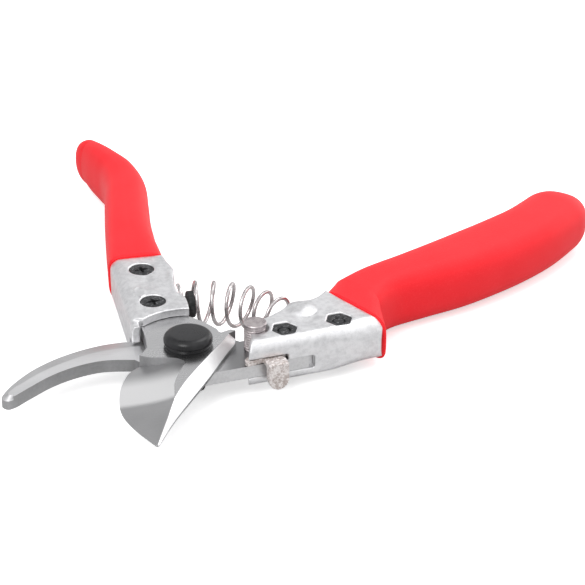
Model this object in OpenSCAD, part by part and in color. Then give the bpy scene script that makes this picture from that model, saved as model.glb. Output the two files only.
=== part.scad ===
// Bypass pruner, lying open on its pivot nut and its two grips.
// The pivot axis is Z, the hook handle points along +X, and the top of the table is z = 0.
// Each lever is drawn with its handle along +X; the blade lever is then turned to its open angle.

/* [Levers] */
// Angle from the hook handle round to the blade handle, when open
open_angle = 83; // [80:1:88]
// Height of the face where the blade slides on the hook
shear_z = 10; // [10:0.5:12]
// Gap between the blade and the hook
shear_gap = 0.05; // [0.03:0.01:0.1]
// Thickness of each cast handle head
casting_t = 13.6; // [13:0.2:15]
// Radius of the hollow front faces of both castings, about the pivot
front_r = 17.2; // [17:0.1:18]

/* [Blade] */
// Thickness of the blade
blade_t = 4; // [3:0.1:4.4]
// Thickness left at the cutting edge
edge_t = 0.25; // [0.15:0.05:0.6]
// Length of the blade's tang inside its casting, from the pivot
blade_tang_l = 52; // [50:1:54]

/* [Hook] */
// Thickness of the hook
hook_t = 4; // [3:0.1:4.4]
// Height of the hook's outer edge above its underside
hook_edge_t = 2.8; // [2:0.1:3.4]
// Length of the wide part of the hook's tang, from the pivot
tang_l = 33.4; // [32:0.2:34.6]
// Length of the narrow tail of the hook's tang, from the pivot
tail_l = 51; // [50:0.5:52]

/* [Pivot] */
// Diameter of the pivot bolt
bolt_d = 6; // [5:0.5:7]
// Radial running gap between the bolt and the blade
run_gap = 0.04; // [0.02:0.01:0.1]
// Diameter of the bolt's head
bolt_head_d = 12.4; // [12:0.1:13]
// Height of the bolt's head
bolt_head_h = 2.6; // [2:0.1:3.2]
// Outer diameter of the pivot cap
cap_d = 14.6; // [14:0.1:16]
// Height of the pivot cap
cap_h = 3.8; // [3.6:0.1:6]
// Size across the flats of the pivot nut
nut_af = 10; // [9:0.5:12]
// Thickness of the washer under the hook
washer_t = 1.6; // [1:0.1:2.4]

/* [Screws] */
// Diameter of the casting screws
screw_d = 4; // [3:0.1:4.6]
// Diameter of the screw heads
screw_head_d = 7.4; // [7:0.1:7.8]
// Height of the screw heads
screw_head_h = 2; // [1.6:0.1:2.2]
// Radial gap round the screws and their heads
screw_gap = 0.25; // [0.1:0.05:0.4]
// Size across the flats of the casting nuts
small_nut_af = 7; // [6:0.1:7.6]
// Height of the casting nuts
small_nut_h = 3.2; // [2.4:0.1:3.6]
// Distance between the blade handle's two screws
blade_screw_pitch = 22; // [20:0.5:24]
// Distance between the hook handle's two screws
hook_screw_pitch = 17.4; // [17:0.1:18.4]

/* [Latch] */
// Thickness of the latch plate
latch_t = 1.6; // [1.2:0.1:2]
// Angle the latch turns through to lock
latch_angle = 14.5; // [12:0.5:15]
// Width of the thumb tab
tab_w = 6.2; // [5:0.1:7]
// Thickness of the thumb tab's tongue
tab_t = 2.4; // [2:0.1:3]

/* [Grips] */
// Thickness of both grips at their fullest; they rest on the table
grip_t = 20; // [18:0.5:20]
// Wall of the grips
grip_wall = 2.6; // [2:0.1:3.4]
// How far the grips' mouths stand proud of the castings
grip_lip = 0.7; // [0.4:0.1:1.2]

/* [Spring] */
// Wire diameter of the return spring
wire_d = 1.2; // [0.8:0.1:1.4]
// Number of turns of the return spring
turns = 6.8; // [6:0.1:8]
// Distance of the spring's centre line from the pivot, at the blade handle
spring_r = 33; // [32:0.5:34]
// Mean coil radius at the middle of the spring
coil_r = 6.5; // [6.2:0.1:7]

/* [Hidden] */

$fn = 64;
// Small overlap that makes cuts break through
cut = 1;
// Named heights
blade_z = shear_z + shear_gap;
blade_top = blade_z + blade_t;
hook_z = shear_z - hook_t;
casting_z = shear_z - casting_t / 2;
casting_top = shear_z + casting_t / 2;
seat_gap = 0.05;

// Screw places: in the blade lever's own frame, and in the hook lever's
blade_screws = [[24.1, 6.4], [24.1 + blade_screw_pitch, 6.4]];
hook_screws = [[28.1, -5.4], [28.1 + hook_screw_pitch, -5.4]];
stud_at = [20.1, -2];
stud_d = 6.6;
stud_top = 18.7;

// ---- Curves ------------------------------------------------------------------------------

// A point between b and c on a smooth curve through a, b, c, d
function knot(a, b, c, d, t) =
    (2 * b + (c - a) * t + (2 * a - 5 * b + 4 * c - d) * t * t
    + (3 * b - a - 3 * c + d) * t * t * t) / 2;

// A smooth open curve through the points p, with n steps between each pair
function smooth(p, n) = let (last = len(p) - 1) concat(
    [for (i = [0:last - 1]) for (k = [0:n - 1])
        knot(p[max(i - 1, 0)], p[i], p[i + 1], p[min(i + 2, last)], k / n)],
    [p[last]]);

// Points of an arc about c, from angle a to angle b
function arc(c, r, a, b, n) =
    [for (k = [0:n]) let (t = a + (b - a) * k / n) c + r * [cos(t), sin(t)]];

// x of the front arc of a casting at height y
function front_x(y) = sqrt(front_r * front_r - y * y);

// ---- Ringed solids -----------------------------------------------------------------------

// Side faces and end caps of a solid made of rings with m points each
function ring_faces(rings, m) = concat(
    [for (i = [0:rings - 2]) for (k = [0:m - 1]) let (n = (k + 1) % m)
        [i * m + k, i * m + n, (i + 1) * m + n]],
    [for (i = [0:rings - 2]) for (k = [0:m - 1]) let (n = (k + 1) % m)
        [i * m + k, (i + 1) * m + n, (i + 1) * m + k]],
    [[for (k = [m - 1:-1:0]) k]],
    [[for (k = [0:m - 1]) (rings - 1) * m + k]]);

module ringed(rings) {
    m = len(rings[0]);
    polyhedron([for (r = rings) each r], ring_faces(len(rings), m), convexity = 6);
}

// ---- Ruled cutter ------------------------------------------------------------------------

// Cuts away everything above a ruled surface that runs from the points "inner" to the points
// "outer"; each point is [x, y, z], and "reach" carries the cut on past the outer points.
function past(a, b, reach) = let (d = b - a, l = norm([d[0], d[1]])) b + d * reach / max(l, 1);
module ruled_cut(inner, outer, top, reach) {
    ringed([for (i = [0:len(inner) - 1])
        let (a = inner[i], b = past(inner[i], outer[i], reach))
        [a, b, [b[0], b[1], top], [a[0], a[1], top]]]);
}

// ---- Screws and nuts ---------------------------------------------------------------------

module hexagon(af, h) {
    cylinder(d = af / cos(30), h = h, $fn = 6);
}

// A cross-recessed screw standing on z = 0 with its head down, "l" long overall
cross_w = 1;
cross_l = 4.4;
cross_depth = 1.2;
module screw(l) {
    difference() {
        union() {
            cylinder(d = screw_head_d, h = screw_head_h);
            cylinder(d = screw_d, h = l);
        }
        for (a = [0, 90]) rotate(a)
            translate([-cross_l / 2, -cross_w / 2, -cut]) cube([cross_l, cross_w, cross_depth + cut]);
    }
}

// A nut for the casting screws, standing on z = 0
module small_nut() {
    difference() {
        hexagon(small_nut_af, small_nut_h);
        translate([0, 0, -cut]) cylinder(d = screw_d, h = small_nut_h + 2 * cut);
    }
}

// "up" is 1 when a screw's head is on top, over the blade, and -1 when it is underneath, below
// the hook. Its seat is a web of casting over the jaw, so the head sinks by what is left.
seat_web = 0.6;
function head_sink(up) =
    casting_t / 2 - (up > 0 ? blade_t : hook_t) - seat_web - screw_head_h;
// How far nuts sit below the casting's faces, and the screw's end below that face
nut_sink = 0.4;
end_sink = 0.3;
function screw_l(up) = casting_t - head_sink(up) - nut_sink - end_sink;

// Cuts for one screw, with its head in one face of the casting and its nut in the other
module screw_cut(up) {
    head_depth = screw_head_h + head_sink(up);
    nut_depth = small_nut_h + nut_sink;
    head_low = up > 0 ? casting_top - head_depth : casting_z - cut;
    nut_low = up > 0 ? casting_z - cut : casting_top - nut_depth;
    translate([0, 0, head_low]) cylinder(d = screw_head_d + 2 * screw_gap, h = head_depth + cut);
    translate([0, 0, nut_low]) hexagon(small_nut_af + screw_gap, nut_depth + cut);
    translate([0, 0, casting_z]) cylinder(d = screw_d + 2 * screw_gap, h = casting_t);
}

module placed_screw(p, up) {
    z = up > 0 ? casting_top - head_sink(up) : casting_z + head_sink(up);
    translate([p[0], p[1], z]) rotate([up > 0 ? 180 : 0, 0, 0]) screw(screw_l(up));
}

module placed_nut(p, up) {
    z = up > 0 ? casting_z + nut_sink : casting_top - nut_sink - small_nut_h;
    translate([p[0], p[1], z]) small_nut();
}

// Puts what is drawn in the blade lever's own frame at its open angle
module blade_lever() {
    rotate(open_angle) children();
}

// ---- Grips -------------------------------------------------------------------------------

// Each station is [x, y, half width, half thickness, heading, squareness]; a squareness of 2 is
// an ellipse, and more is squarer. The last station ends in a round nose.
mouth_b = casting_t / 2 + grip_lip;
full_b = grip_t / 2;
blade_stations = [[54.6, 6.7, 9, mouth_b, 0, 5], [56, 6.7, 9, mouth_b + 0.1, 0, 4.6],
    [70, 6, 8.2, 8.6, -5, 3], [86, 4.6, 7.7, 9.3, -7, 2.7], [102, 2.6, 7.5, 9.5, -8, 2.7],
    [114, 0.9, 7.5, 9.7, -6, 2.7], [125, 0.3, 7.8, full_b, 3, 2.7], [133, 2.9, 6.5, full_b, 13, 2.6],
    [140.5, 6.1, 5.3, 9.5, 24, 2.5], [146.5, 8, 4.7, 8.6, 28, 2.4]];
blade_nose = 7.6;
hook_stations = [[52.9, 0.9, 14, mouth_b, 20, 6], [54, 1.4, 14, mouth_b, 20, 5],
    [57.6, 10.2, 9.4, 8.8, 27, 3.4], [66.5, 15.1, 8.9, 9.6, 22, 2.8], [80, 18.8, 10, 9.8, 17, 2.7],
    [93, 22.3, 11.3, full_b, 19, 2.7], [106, 26.8, 11.9, full_b, 22, 2.7],
    [118, 31.6, 11.9, full_b, 25, 2.7], [130, 37.5, 11.6, full_b, 29, 2.6],
    [141, 45, 11.4, 9.8, 38, 2.5]];
hook_nose = 14.5;
// Number of points round each ring
grip_sides = 28;
nose_rings = 6;
// Below 1, the noses are blunter than an ellipse
nose_power = 0.88;
core_gap = 0.1;

function power(v, p) = sign(v) * pow(abs(v), 2 / p);
function section(s, inset, squash) = let (h = s[4], a = (s[2] - inset) * squash,
        b = (s[3] - inset) * squash)
    [for (k = [0:grip_sides - 1]) let (t = 360 * k / grip_sides, u = a * power(cos(t), s[5]))
        [s[0] + u * sin(h), s[1] - u * cos(h), shear_z + b * power(sin(t), s[5])]];
function along(s, d) = [s[0] + d * cos(s[4]), s[1] + d * sin(s[4]), s[2], s[3], s[4], s[5]];
function nose(s, l) = [for (k = [1:nose_rings]) let (t = 88 * k / nose_rings)
    section(along(s, l * sin(t)), 0, pow(cos(t), nose_power))];
// The flange at the mouth has straight sides, and the rest runs smoothly up to station "last"
function skin(st, last) = concat([st[0], st[1]], smooth([for (i = [2:last]) st[i]], 3));
function body_rings(st) = [for (s = skin(st, len(st) - 1)) section(s, 0, 1)];
// The socket and the core inside it are evenly rounded all along
core_square = 2.8;
function plain(s) = [s[0], s[1], s[2], s[3], s[4], core_square];
function core_rings(st, inset, first) = let (all = skin(st, len(st) - 3))
    [for (i = [first:len(all) - 1]) section(plain(all[i]), inset, 1)];
function reversed(v) = [for (i = [len(v) - 1:-1:0]) v[i]];

// The outer skin and the socket that the casting's core fills, as one closed surface
module grip(st, l) {
    ringed(concat(reversed(core_rings(st, grip_wall, 0)), body_rings(st),
        nose(st[len(st) - 1], l)));
}

// The casting's core, which starts "core_root" inside the casting
core_root = 2;
module core(st) {
    inset = grip_wall + core_gap;
    ringed(concat([section(along(plain(st[0]), -core_root), inset, 1)],
        core_rings(st, inset, 1)));
}

// ---- Hook lever --------------------------------------------------------------------------

tang_out = -12.2;
tang_in = 3;
tail_in = -0.6;
tail_out = -10.4;
hub_r = 12.2;
hook_outer = [[-56.9, -3], [-54, 1.2], [-49.5, 5.7], [-43.7, 10.1], [-36.3, 13.8],
    [-28.6, 16.1], [-21.4, 17], [-14.6, 16.4], [-8.6, 14.6]];
hook_ridge = [[-56.3, -4], [-53, -1.6], [-50, 0.6], [-42.8, 5.6], [-34.5, 9],
    [-27.3, 11], [-20.4, 11.4], [-13.7, 10.8], [-8, 10.6]];
hook_inner = [[-15.6, 3], [-22.1, 5.2], [-27.3, 5.8], [-34.4, 4.7], [-41.5, 2], [-48.5, -2.2],
    [-53, -5.2]];
hook_tip = [[-54.6, -6], [-56.4, -5.4]];

module hook_outline() {
    polygon(concat(
        smooth(hook_outer, 5),
        arc([0, 0], 15.4, 106, 30, 12),
        [[17, tang_in], [tang_l, tang_in], [tang_l, tang_out]],
        arc([0, 0], hub_r, 270, 200, 10),
        smooth(hook_inner, 5),
        hook_tip));
}

module hook() color("gainsboro") difference() {
    translate([0, 0, hook_z]) union() {
        linear_extrude(hook_t) hook_outline();
        translate([tang_l - cut, tail_out, 0]) cube([tail_l - tang_l + cut, tail_in - tail_out, hook_t]);
    }
    ruled_cut([for (p = reversed(smooth(hook_ridge, 4))) [p[0], p[1], shear_z]],
        [for (p = reversed(smooth(hook_outer, 4))) [p[0], p[1], hook_z + hook_edge_t]],
        shear_z + cut, 2);
    translate([0, 0, hook_z - cut]) cylinder(d = bolt_d + seat_gap, h = hook_t + 2 * cut);
    for (p = hook_screws) translate([p[0], p[1], hook_z - cut])
        cylinder(d = screw_d + 2 * screw_gap, h = hook_t + 2 * cut);
    translate([stud_at[0], stud_at[1], hook_z - cut])
        cylinder(d = stud_d + seat_gap, h = hook_t + 2 * cut);
}

// Place and size of the boss that backs the spring's seat
boss_at = [37.2, 4.6];
boss_r = 5;
boss_dome = 1.2;
hook_side = -12.6;
hook_mouth = hook_stations[0];
mouth_heading = hook_mouth[4];
function mouth_point(w) = [hook_mouth[0] - w * sin(mouth_heading),
    hook_mouth[1] + w * cos(mouth_heading)];
hook_inner_side = [[22.4, 2], [24.7, 2.8], [28, 4.2], [31.5, 6.2], [35, 8.8], [38.4, 9.6],
    [42, 9.4], [45, 10.6]];

// The front end is a straight face, square to this direction and just outside the swept circle
front_heading = -20;
front_clear = 0.6;
front_top = 1.4;
function front_point(y) =
    [(front_r + front_clear - y * sin(front_heading)) / cos(front_heading), y];

module hook_handle_outline() {
    polygon(concat(
        [front_point(front_top)],
        smooth(concat(hook_inner_side, [mouth_point(hook_mouth[2] - grip_lip)]), 3),
        [mouth_point(corner_r - side_reach), mouth_point(-side_reach) - [corner_r, 0],
        front_point(hook_side)]));
}
// Where the outer side meets the grip's mouth, and how far its corner is cut back
side_reach = (hook_mouth[1] - hook_side) / cos(mouth_heading);
corner_r = 1.5;

// The spring's end sits on a flat seat sunk into the inner side, round a short peg
seat_angle = 12.5;
seat_r = 6.2;
peg_r = 2.6;
peg_l = 1.4;
module at_seat() {
    rotate(seat_angle) translate([spring_r + spring_drift, 0, shear_z]) rotate([-90, 0, 0])
        children();
}

// A long cut that rounds a straight edge along X with radius r
module edge_round(l, r) {
    rotate([90, 0, 90]) linear_extrude(l) difference() {
        translate([-cut, -cut]) square(r + cut);
        translate([r, r]) circle(r);
    }
}

side_round = 3.6;
foot_round = 1.8;
// The latch lies in a pocket above the hook's tang, from the front to this x
pocket_x = 26.9;
latch_gap = 0.2;
latch_z = shear_z + latch_gap;
pocket_top = latch_z + latch_t + latch_gap;
eye_r = 5;
nose_at = [14.9, -11.6];
latch_nose_r = 1.2;
window_x = 35.2;

// The latch's arm at an angle about its screw, grown by a gap
module latch_arm(angle, gap) {
    p = hook_screws[0];
    translate(p) rotate(angle) translate(-p) hull() {
        translate(p) circle(eye_r + gap);
        translate(nose_at) circle(latch_nose_r + gap, $fn = 32);
    }
}

module tang_slot() {
    translate([0, tang_out - seat_gap, hook_z - seat_gap])
        cube([tang_l + seat_gap, tang_in - tang_out + 2 * seat_gap, hook_t + 2 * seat_gap]);
    translate([0, tail_out - seat_gap, hook_z - seat_gap])
        cube([tail_l + seat_gap, tail_in - tail_out + 2 * seat_gap, hook_t + 2 * seat_gap]);
    translate([0, hook_side - cut, hook_z - seat_gap])
        cube([window_x, tang_out - hook_side + cut + seat_gap, hook_t + 2 * seat_gap]);
    translate([tang_l, hook_side - cut, hook_z - seat_gap])
        cube([window_x - tang_l, 3 * cut, hook_t + 2 * seat_gap]);
}

module latch_pocket() {
    translate([0, 0, shear_z]) linear_extrude(pocket_top - shear_z) {
        for (a = [0:-latch_angle / 2:-latch_angle]) latch_arm(a, 0.4);
        translate([0, hook_side - cut]) square([pocket_x, 4 * cut]);
    }
}

module hook_handle() color("silver") {
    difference() {
        union() {
            translate([0, 0, casting_z]) linear_extrude(casting_t) hook_handle_outline();
            translate([boss_at[0], boss_at[1], casting_z]) cylinder(r = boss_r, h = casting_t);
            translate([boss_at[0], boss_at[1], casting_top]) intersection() {
                translate([0, 0, boss_dome - dome_r]) sphere(dome_r);
                translate([0, 0, -cut]) cylinder(r = boss_r, h = boss_dome + 2 * cut);
            }
        }
        translate([0, hook_side, casting_top]) mirror([0, 0, 1]) edge_round(70, side_round);
        translate([0, hook_side, casting_z]) edge_round(70, foot_round);
        tang_slot();
        latch_pocket();
        for (p = hook_screws) translate(p) screw_cut(-1);
        translate([stud_at[0], stud_at[1], shear_z])
            cylinder(d = stud_d + 1.2, h = casting_t);
        translate([stud_at[0], stud_at[1], casting_z - cut])
            cylinder(d = stud_d + seat_gap, h = casting_t);
        at_seat() cylinder(r = seat_r, h = 12);
    }
    at_seat() translate([0, 0, -cut]) cylinder(r = peg_r, h = peg_l + cut);
    core(hook_stations);
}
dome_r = (boss_r * boss_r + boss_dome * boss_dome) / (2 * boss_dome);

module hook_grip() color("crimson") grip(hook_stations, hook_nose);

module hook_screw_front() color("dimgray") placed_screw(hook_screws[0], -1);
module hook_screw_rear() color("dimgray") placed_screw(hook_screws[1], -1);
module hook_nut_front() color("dimgray") placed_nut(hook_screws[0], -1);
module hook_nut_rear() color("dimgray") placed_nut(hook_screws[1], -1);

stud_head_d = 7;
stud_head_h = 0.7;
module stop_stud() color("rosybrown") {
    translate([stud_at[0], stud_at[1], casting_z]) cylinder(d = stud_d, h = stud_top - casting_z);
    translate([stud_at[0], stud_at[1], stud_top - stud_head_h])
        cylinder(d = stud_head_d, h = stud_head_h);
}

// ---- Pivot -------------------------------------------------------------------------------

head_z = blade_top + shear_gap;
cap_wall = (cap_d - bolt_head_d) / 2;
module pivot_bolt() color("dimgray") {
    cylinder(d = bolt_d, h = head_z + cut);
    translate([0, 0, head_z]) cylinder(d = bolt_head_d, h = bolt_head_h);
}

cap_round = 1.2;
module pivot_cap() color("black") translate([0, 0, head_z]) difference() {
    rotate_extrude() difference() {
        square([cap_d / 2, cap_h]);
        translate([cap_d / 2 - cap_round, cap_h - cap_round]) difference() {
            square(cap_round + cut);
            circle(cap_round);
        }
    }
    translate([0, 0, -cut]) cylinder(d = bolt_head_d + seat_gap, h = bolt_head_h + cut);
}

washer_d = 15;
module pivot_washer() color("silver") translate([0, 0, hook_z - washer_t]) difference() {
    cylinder(d = washer_d, h = washer_t);
    translate([0, 0, -cut]) cylinder(d = bolt_d + seat_gap, h = washer_t + 2 * cut);
}

pivot_nut_h = hook_z - washer_t;
module pivot_nut() color("dimgray") difference() {
    hexagon(nut_af, pivot_nut_h);
    translate([0, 0, -cut]) cylinder(d = bolt_d + seat_gap, h = pivot_nut_h + 2 * cut);
}

// ---- Latch -------------------------------------------------------------------------------

stud_room = 0.8;
tab_x = 22.4;
tab_y = -14.8;
tab_low = 3.4;
tab_top = 12.2;
tab_round = 2.8;
module latch() color("tan") {
    difference() {
        translate([0, 0, latch_z]) linear_extrude(latch_t) latch_arm(0, 0);
        translate([hook_screws[0][0], hook_screws[0][1], 0])
            cylinder(d = screw_d + 2 * run_gap, h = casting_top);
        // The arm is hollowed out where it turns past the stop stud
        for (a = [0:latch_angle / 4:latch_angle]) translate(hook_screws[0]) rotate(a)
            translate(stud_at - hook_screws[0]) cylinder(d = stud_d + stud_room, h = casting_top);
    }
    translate([tab_x - tab_w / 2, tab_y - tab_t, latch_z])
        cube([tab_w, hook_side - tab_y + tab_t + 2 * cut, latch_t]);
    translate([tab_x, tab_y, 0]) rotate([90, 0, 0]) linear_extrude(tab_t) {
        translate([-tab_w / 2, tab_low + tab_round]) square([tab_w, latch_z + latch_t - tab_low - tab_round]);
        intersection() {
            translate([0, tab_low + tab_w / 2]) circle(tab_w / 2);
            translate([-tab_w / 2, tab_low]) square([tab_w, tab_w / 2]);
        }
    }
}

// ---- Return spring -----------------------------------------------------------------------

// The spring runs on an arc about the pivot from the blade handle to the hook handle
spring_from = 78;
spring_to = 15.6;
spring_drift = 3;
coil_phase = 80;
coil_end_r = 5.8;
wire_sides = 8;
steps_per_turn = 20;
function coil_radius(t) = coil_end_r + (coil_r - coil_end_r)
    * (t < 0.55 ? min(1, 0.55 + t * 4) : 1 - (t - 0.55) / 0.45);
function wire_at(t) = let (a = spring_from + (spring_to - spring_from) * t,
        w = coil_phase + 360 * turns * t, r = spring_r + spring_drift * t + coil_radius(t) * cos(w))
    [r * cos(a), r * sin(a), shear_z + coil_radius(t) * sin(w)];
function unit(v) = v / norm(v);
function wire_ring(t) = let (d = unit(wire_at(t + 0.001) - wire_at(t - 0.001)),
        a = spring_from + (spring_to - spring_from) * t,
        u = unit(cross(d, [-sin(a), cos(a), 0])), v = cross(d, u))
    [for (k = [0:wire_sides - 1]) let (q = 360 * k / wire_sides)
        wire_at(t) + wire_d / 2 * (u * cos(q) + v * sin(q))];
module return_spring() color("lightgray") ringed(
    [for (i = [0:turns * steps_per_turn]) wire_ring(i / (turns * steps_per_turn))]);

// ---- Blade lever -------------------------------------------------------------------------

// Cutting edge from the heel to the tip, and the line where the hollow of the blade begins
blade_edge = [[-3.2, 14.4], [-6.5, 18.4], [-10.5, 20.7], [-15.5, 22.6], [-21.5, 23.9],
    [-27.5, 24.4], [-33, 23.7], [-39.5, 21.6], [-44.5, 19.4], [-48.4, 17.6]];
blade_hollow = [[-4.6, 14], [-6.3, 11.2], [-7.9, 8.2], [-9.4, 4.9], [-12.4, 3],
    [-16.9, 5.9], [-22.2, 8], [-31.4, 9.8], [-39.5, 13.4], [-48, 17.3]];
ridge_z = [1, 1, 1, 1, 1, 1, 1, 1, 0.6, 0.12];
// Back of the blade from the tip to the heel, at its underside and at its top
back_low = [[-48.6, 17.2], [-36.8, 10.6], [-24.6, 2.6], [-15.5, -3.4], [-4.9, -9.8],
    [1.6, -14], [5, -15.2]];
back_high = [[-48, 17.3], [-39.5, 13.4], [-31.4, 9.8], [-21.1, 3.5], [-7.3, -6.4],
    [-1.5, -10.8], [3, -13.6]];
back_z = [0.12, 0.6, 1, 1, 1, 1, 1];
blade_tang_in = -0.6;
blade_tang_out = 11.6;
heel_x = 18.2;
heel = [[5.9, -14.2], [5.2, -12.2], [4.6, -10.8], [5.4, -10.2], [7.5, -9.7], [12.1, -7],
    [16.4, -3.6], [17.6, -1.8], [heel_x, blade_tang_in]];

module blade_outline() {
    polygon(concat(smooth(blade_edge, 4), back_low, heel,
        [[blade_tang_l, blade_tang_in], [blade_tang_l, blade_tang_out],
        [6, 11.7], [0.5, 12.2]]));
}

module blade() color("gainsboro") blade_lever() difference() {
    translate([0, 0, blade_z]) linear_extrude(blade_t) blade_outline();
    ruled_cut([for (i = [0:len(blade_hollow) - 1])
            [blade_hollow[i][0], blade_hollow[i][1], blade_z + blade_t * ridge_z[i]]],
        [for (p = blade_edge) [p[0], p[1], blade_z + edge_t]], blade_top + cut, 2);
    ruled_cut([for (i = [0:len(back_high) - 1])
            [back_high[i][0], back_high[i][1], blade_z + blade_t * back_z[i]]],
        [for (p = back_low) [p[0], p[1], blade_z + edge_t]], blade_top + cut, 2);
    translate([0, 0, blade_z - cut]) cylinder(d = bolt_d + 2 * run_gap, h = blade_t + 2 * cut);
    for (p = blade_screws) translate([p[0], p[1], blade_z - cut])
        cylinder(d = screw_d + 2 * screw_gap, h = blade_t + 2 * cut);
}

blade_side = 15.2;
blade_mouth = blade_stations[0];
blade_inner_side = [[24.8, -3.6], [28, -2], [34, -1.8], [42, -2.5], [50, -2.2]];
lip_x = 10.6;
lip_w = 2.6;
lip_top = 15.6;
under_x = 15.4;
under_r = 18.6;

module blade_handle_outline(r) {
    polygon(concat(
        arc([0, 0], r, 40, -11.5, 12),
        smooth(concat([[20, -3.7]], blade_inner_side,
            [[blade_mouth[0], blade_mouth[1] - blade_mouth[2] + grip_lip]]), 3),
        [[blade_mouth[0], blade_side], [16, blade_side]]));
}

module blade_handle() color("silver") blade_lever() {
    difference() {
        union() {
            translate([0, 0, blade_z]) linear_extrude(casting_top - blade_z)
                blade_handle_outline(front_r);
            translate([0, 0, casting_z]) linear_extrude(blade_z - casting_z)
                intersection() {
                    blade_handle_outline(under_r);
                    translate([under_x, -10]) square([60, 40]);
                }
            translate([lip_x, blade_side - lip_w, blade_z + 0.3])
                cube([8, lip_w, lip_top - blade_z - 0.3]);
        }
        translate([0, blade_side, casting_top]) mirror([0, 1, 0]) mirror([0, 0, 1])
            edge_round(70, side_round);
        translate([0, blade_side, casting_z]) mirror([0, 1, 0]) edge_round(70, foot_round);
        translate([0, blade_tang_in - seat_gap, blade_z - seat_gap])
            cube([blade_tang_l + seat_gap, blade_tang_out - blade_tang_in + 2 * seat_gap,
                blade_t + 2 * seat_gap]);
        translate([0, -heel_x, blade_z - seat_gap])
            cube([heel_x + seat_gap, heel_x, blade_t + 2 * seat_gap]);
        for (p = blade_screws) translate(p) screw_cut(1);
        translate([buffer_x, -20, shear_z]) rotate([-90, 0, 0])
            cylinder(d = buffer_neck_d + seat_gap, h = 20 + buffer_in);
    }
    core(blade_stations);
}

module blade_grip() color("crimson") blade_lever() grip(blade_stations, blade_nose);

module blade_screw_front() color("dimgray") blade_lever() placed_screw(blade_screws[0], 1);
module blade_screw_rear() color("dimgray") blade_lever() placed_screw(blade_screws[1], 1);
module blade_nut_front() color("dimgray") blade_lever() placed_nut(blade_screws[0], 1);
module blade_nut_rear() color("dimgray") blade_lever() placed_nut(blade_screws[1], 1);

// A rubber buffer pushed into the inner side of the blade handle, inside the spring
buffer_x = 32;
buffer_in = -1.2;
buffer_neck_d = 5.4;
buffer_head_d = 8.4;
buffer_head_t = 2.2;
buffer_end = -7.6;
module spring_buffer() color("dimgray") blade_lever()
    translate([buffer_x, buffer_end, shear_z]) rotate([-90, 0, 0]) {
        cylinder(d = buffer_head_d, h = buffer_head_t);
        cylinder(d = buffer_neck_d, h = buffer_in - buffer_end);
    }

hook();
hook_handle();
hook_grip();
hook_screw_front();
hook_screw_rear();
hook_nut_front();
hook_nut_rear();
stop_stud();
pivot_bolt();
pivot_cap();
pivot_washer();
pivot_nut();
latch();
return_spring();
blade();
blade_handle();
blade_grip();
blade_screw_front();
blade_screw_rear();
blade_nut_front();
blade_nut_rear();
spring_buffer();
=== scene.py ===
"""Looks of a bypass pruner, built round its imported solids.

Lengths are in millimetres inside the classes and become metres when a mesh is made.
The two levers are dressed in the row frame; what belongs to the blade lever is drawn along
+X in the lever's own frame and turned to the open angle.
"""

import logging
import math
from contextlib import contextmanager
from dataclasses import dataclass, field
from enum import Enum
from typing import Callable, Iterator, Sequence

import bmesh
import bpy
import numpy as np
from mathutils import Matrix, Vector


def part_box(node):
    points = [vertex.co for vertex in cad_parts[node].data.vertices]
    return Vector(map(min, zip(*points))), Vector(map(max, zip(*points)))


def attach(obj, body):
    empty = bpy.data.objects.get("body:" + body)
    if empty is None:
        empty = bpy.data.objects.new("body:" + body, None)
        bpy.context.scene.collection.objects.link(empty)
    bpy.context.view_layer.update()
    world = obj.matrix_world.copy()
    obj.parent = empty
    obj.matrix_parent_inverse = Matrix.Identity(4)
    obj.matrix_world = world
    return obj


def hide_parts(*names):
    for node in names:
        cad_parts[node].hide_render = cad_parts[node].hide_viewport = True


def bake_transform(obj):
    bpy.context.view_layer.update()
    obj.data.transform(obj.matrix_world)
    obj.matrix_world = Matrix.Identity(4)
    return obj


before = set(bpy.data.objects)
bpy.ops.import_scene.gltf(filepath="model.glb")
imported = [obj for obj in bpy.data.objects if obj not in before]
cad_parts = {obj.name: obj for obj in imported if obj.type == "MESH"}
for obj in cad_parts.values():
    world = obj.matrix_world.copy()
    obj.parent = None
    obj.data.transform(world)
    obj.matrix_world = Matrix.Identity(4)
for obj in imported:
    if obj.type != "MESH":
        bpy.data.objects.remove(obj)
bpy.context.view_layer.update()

MM = 0.001
OPEN_ANGLE = math.radians(83)
LEVEL = 10.0
# The radius that stands for the axis, since a ring can't be one point
AXIS_R = 0.05
# Across the flats and the bore's radius of the nuts on the handle screws
M4_ACROSS = 7.0
M4_BORE = 2.0

logging.basicConfig(level=logging.INFO, format="%(message)s")
log = logging.getLogger("pruner")

Point = Sequence[float]
Colour = tuple[float, float, float]


class Body(Enum):
    """The bodies that pieces ride on."""

    HOOK = "hook_lever"
    BLADE = "blade_lever"
    LATCH = "latch"


class Slot(Enum):
    """The record's material slots."""

    BLADE_STEEL = "blade_steel"
    CAST_ALLOY = "cast_alloy"
    GRIP = "grip"
    DARK_STEEL = "dark_steel"
    PLATED_STEEL = "plated_steel"
    SPRING_STEEL = "spring_steel"
    LATCH_ALLOY = "latch_alloy"
    CAP_PLASTIC = "cap_plastic"
    BUFFER_RUBBER = "buffer_rubber"


# ---- Shader maths ---------------------------------------------------------------------------


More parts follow.
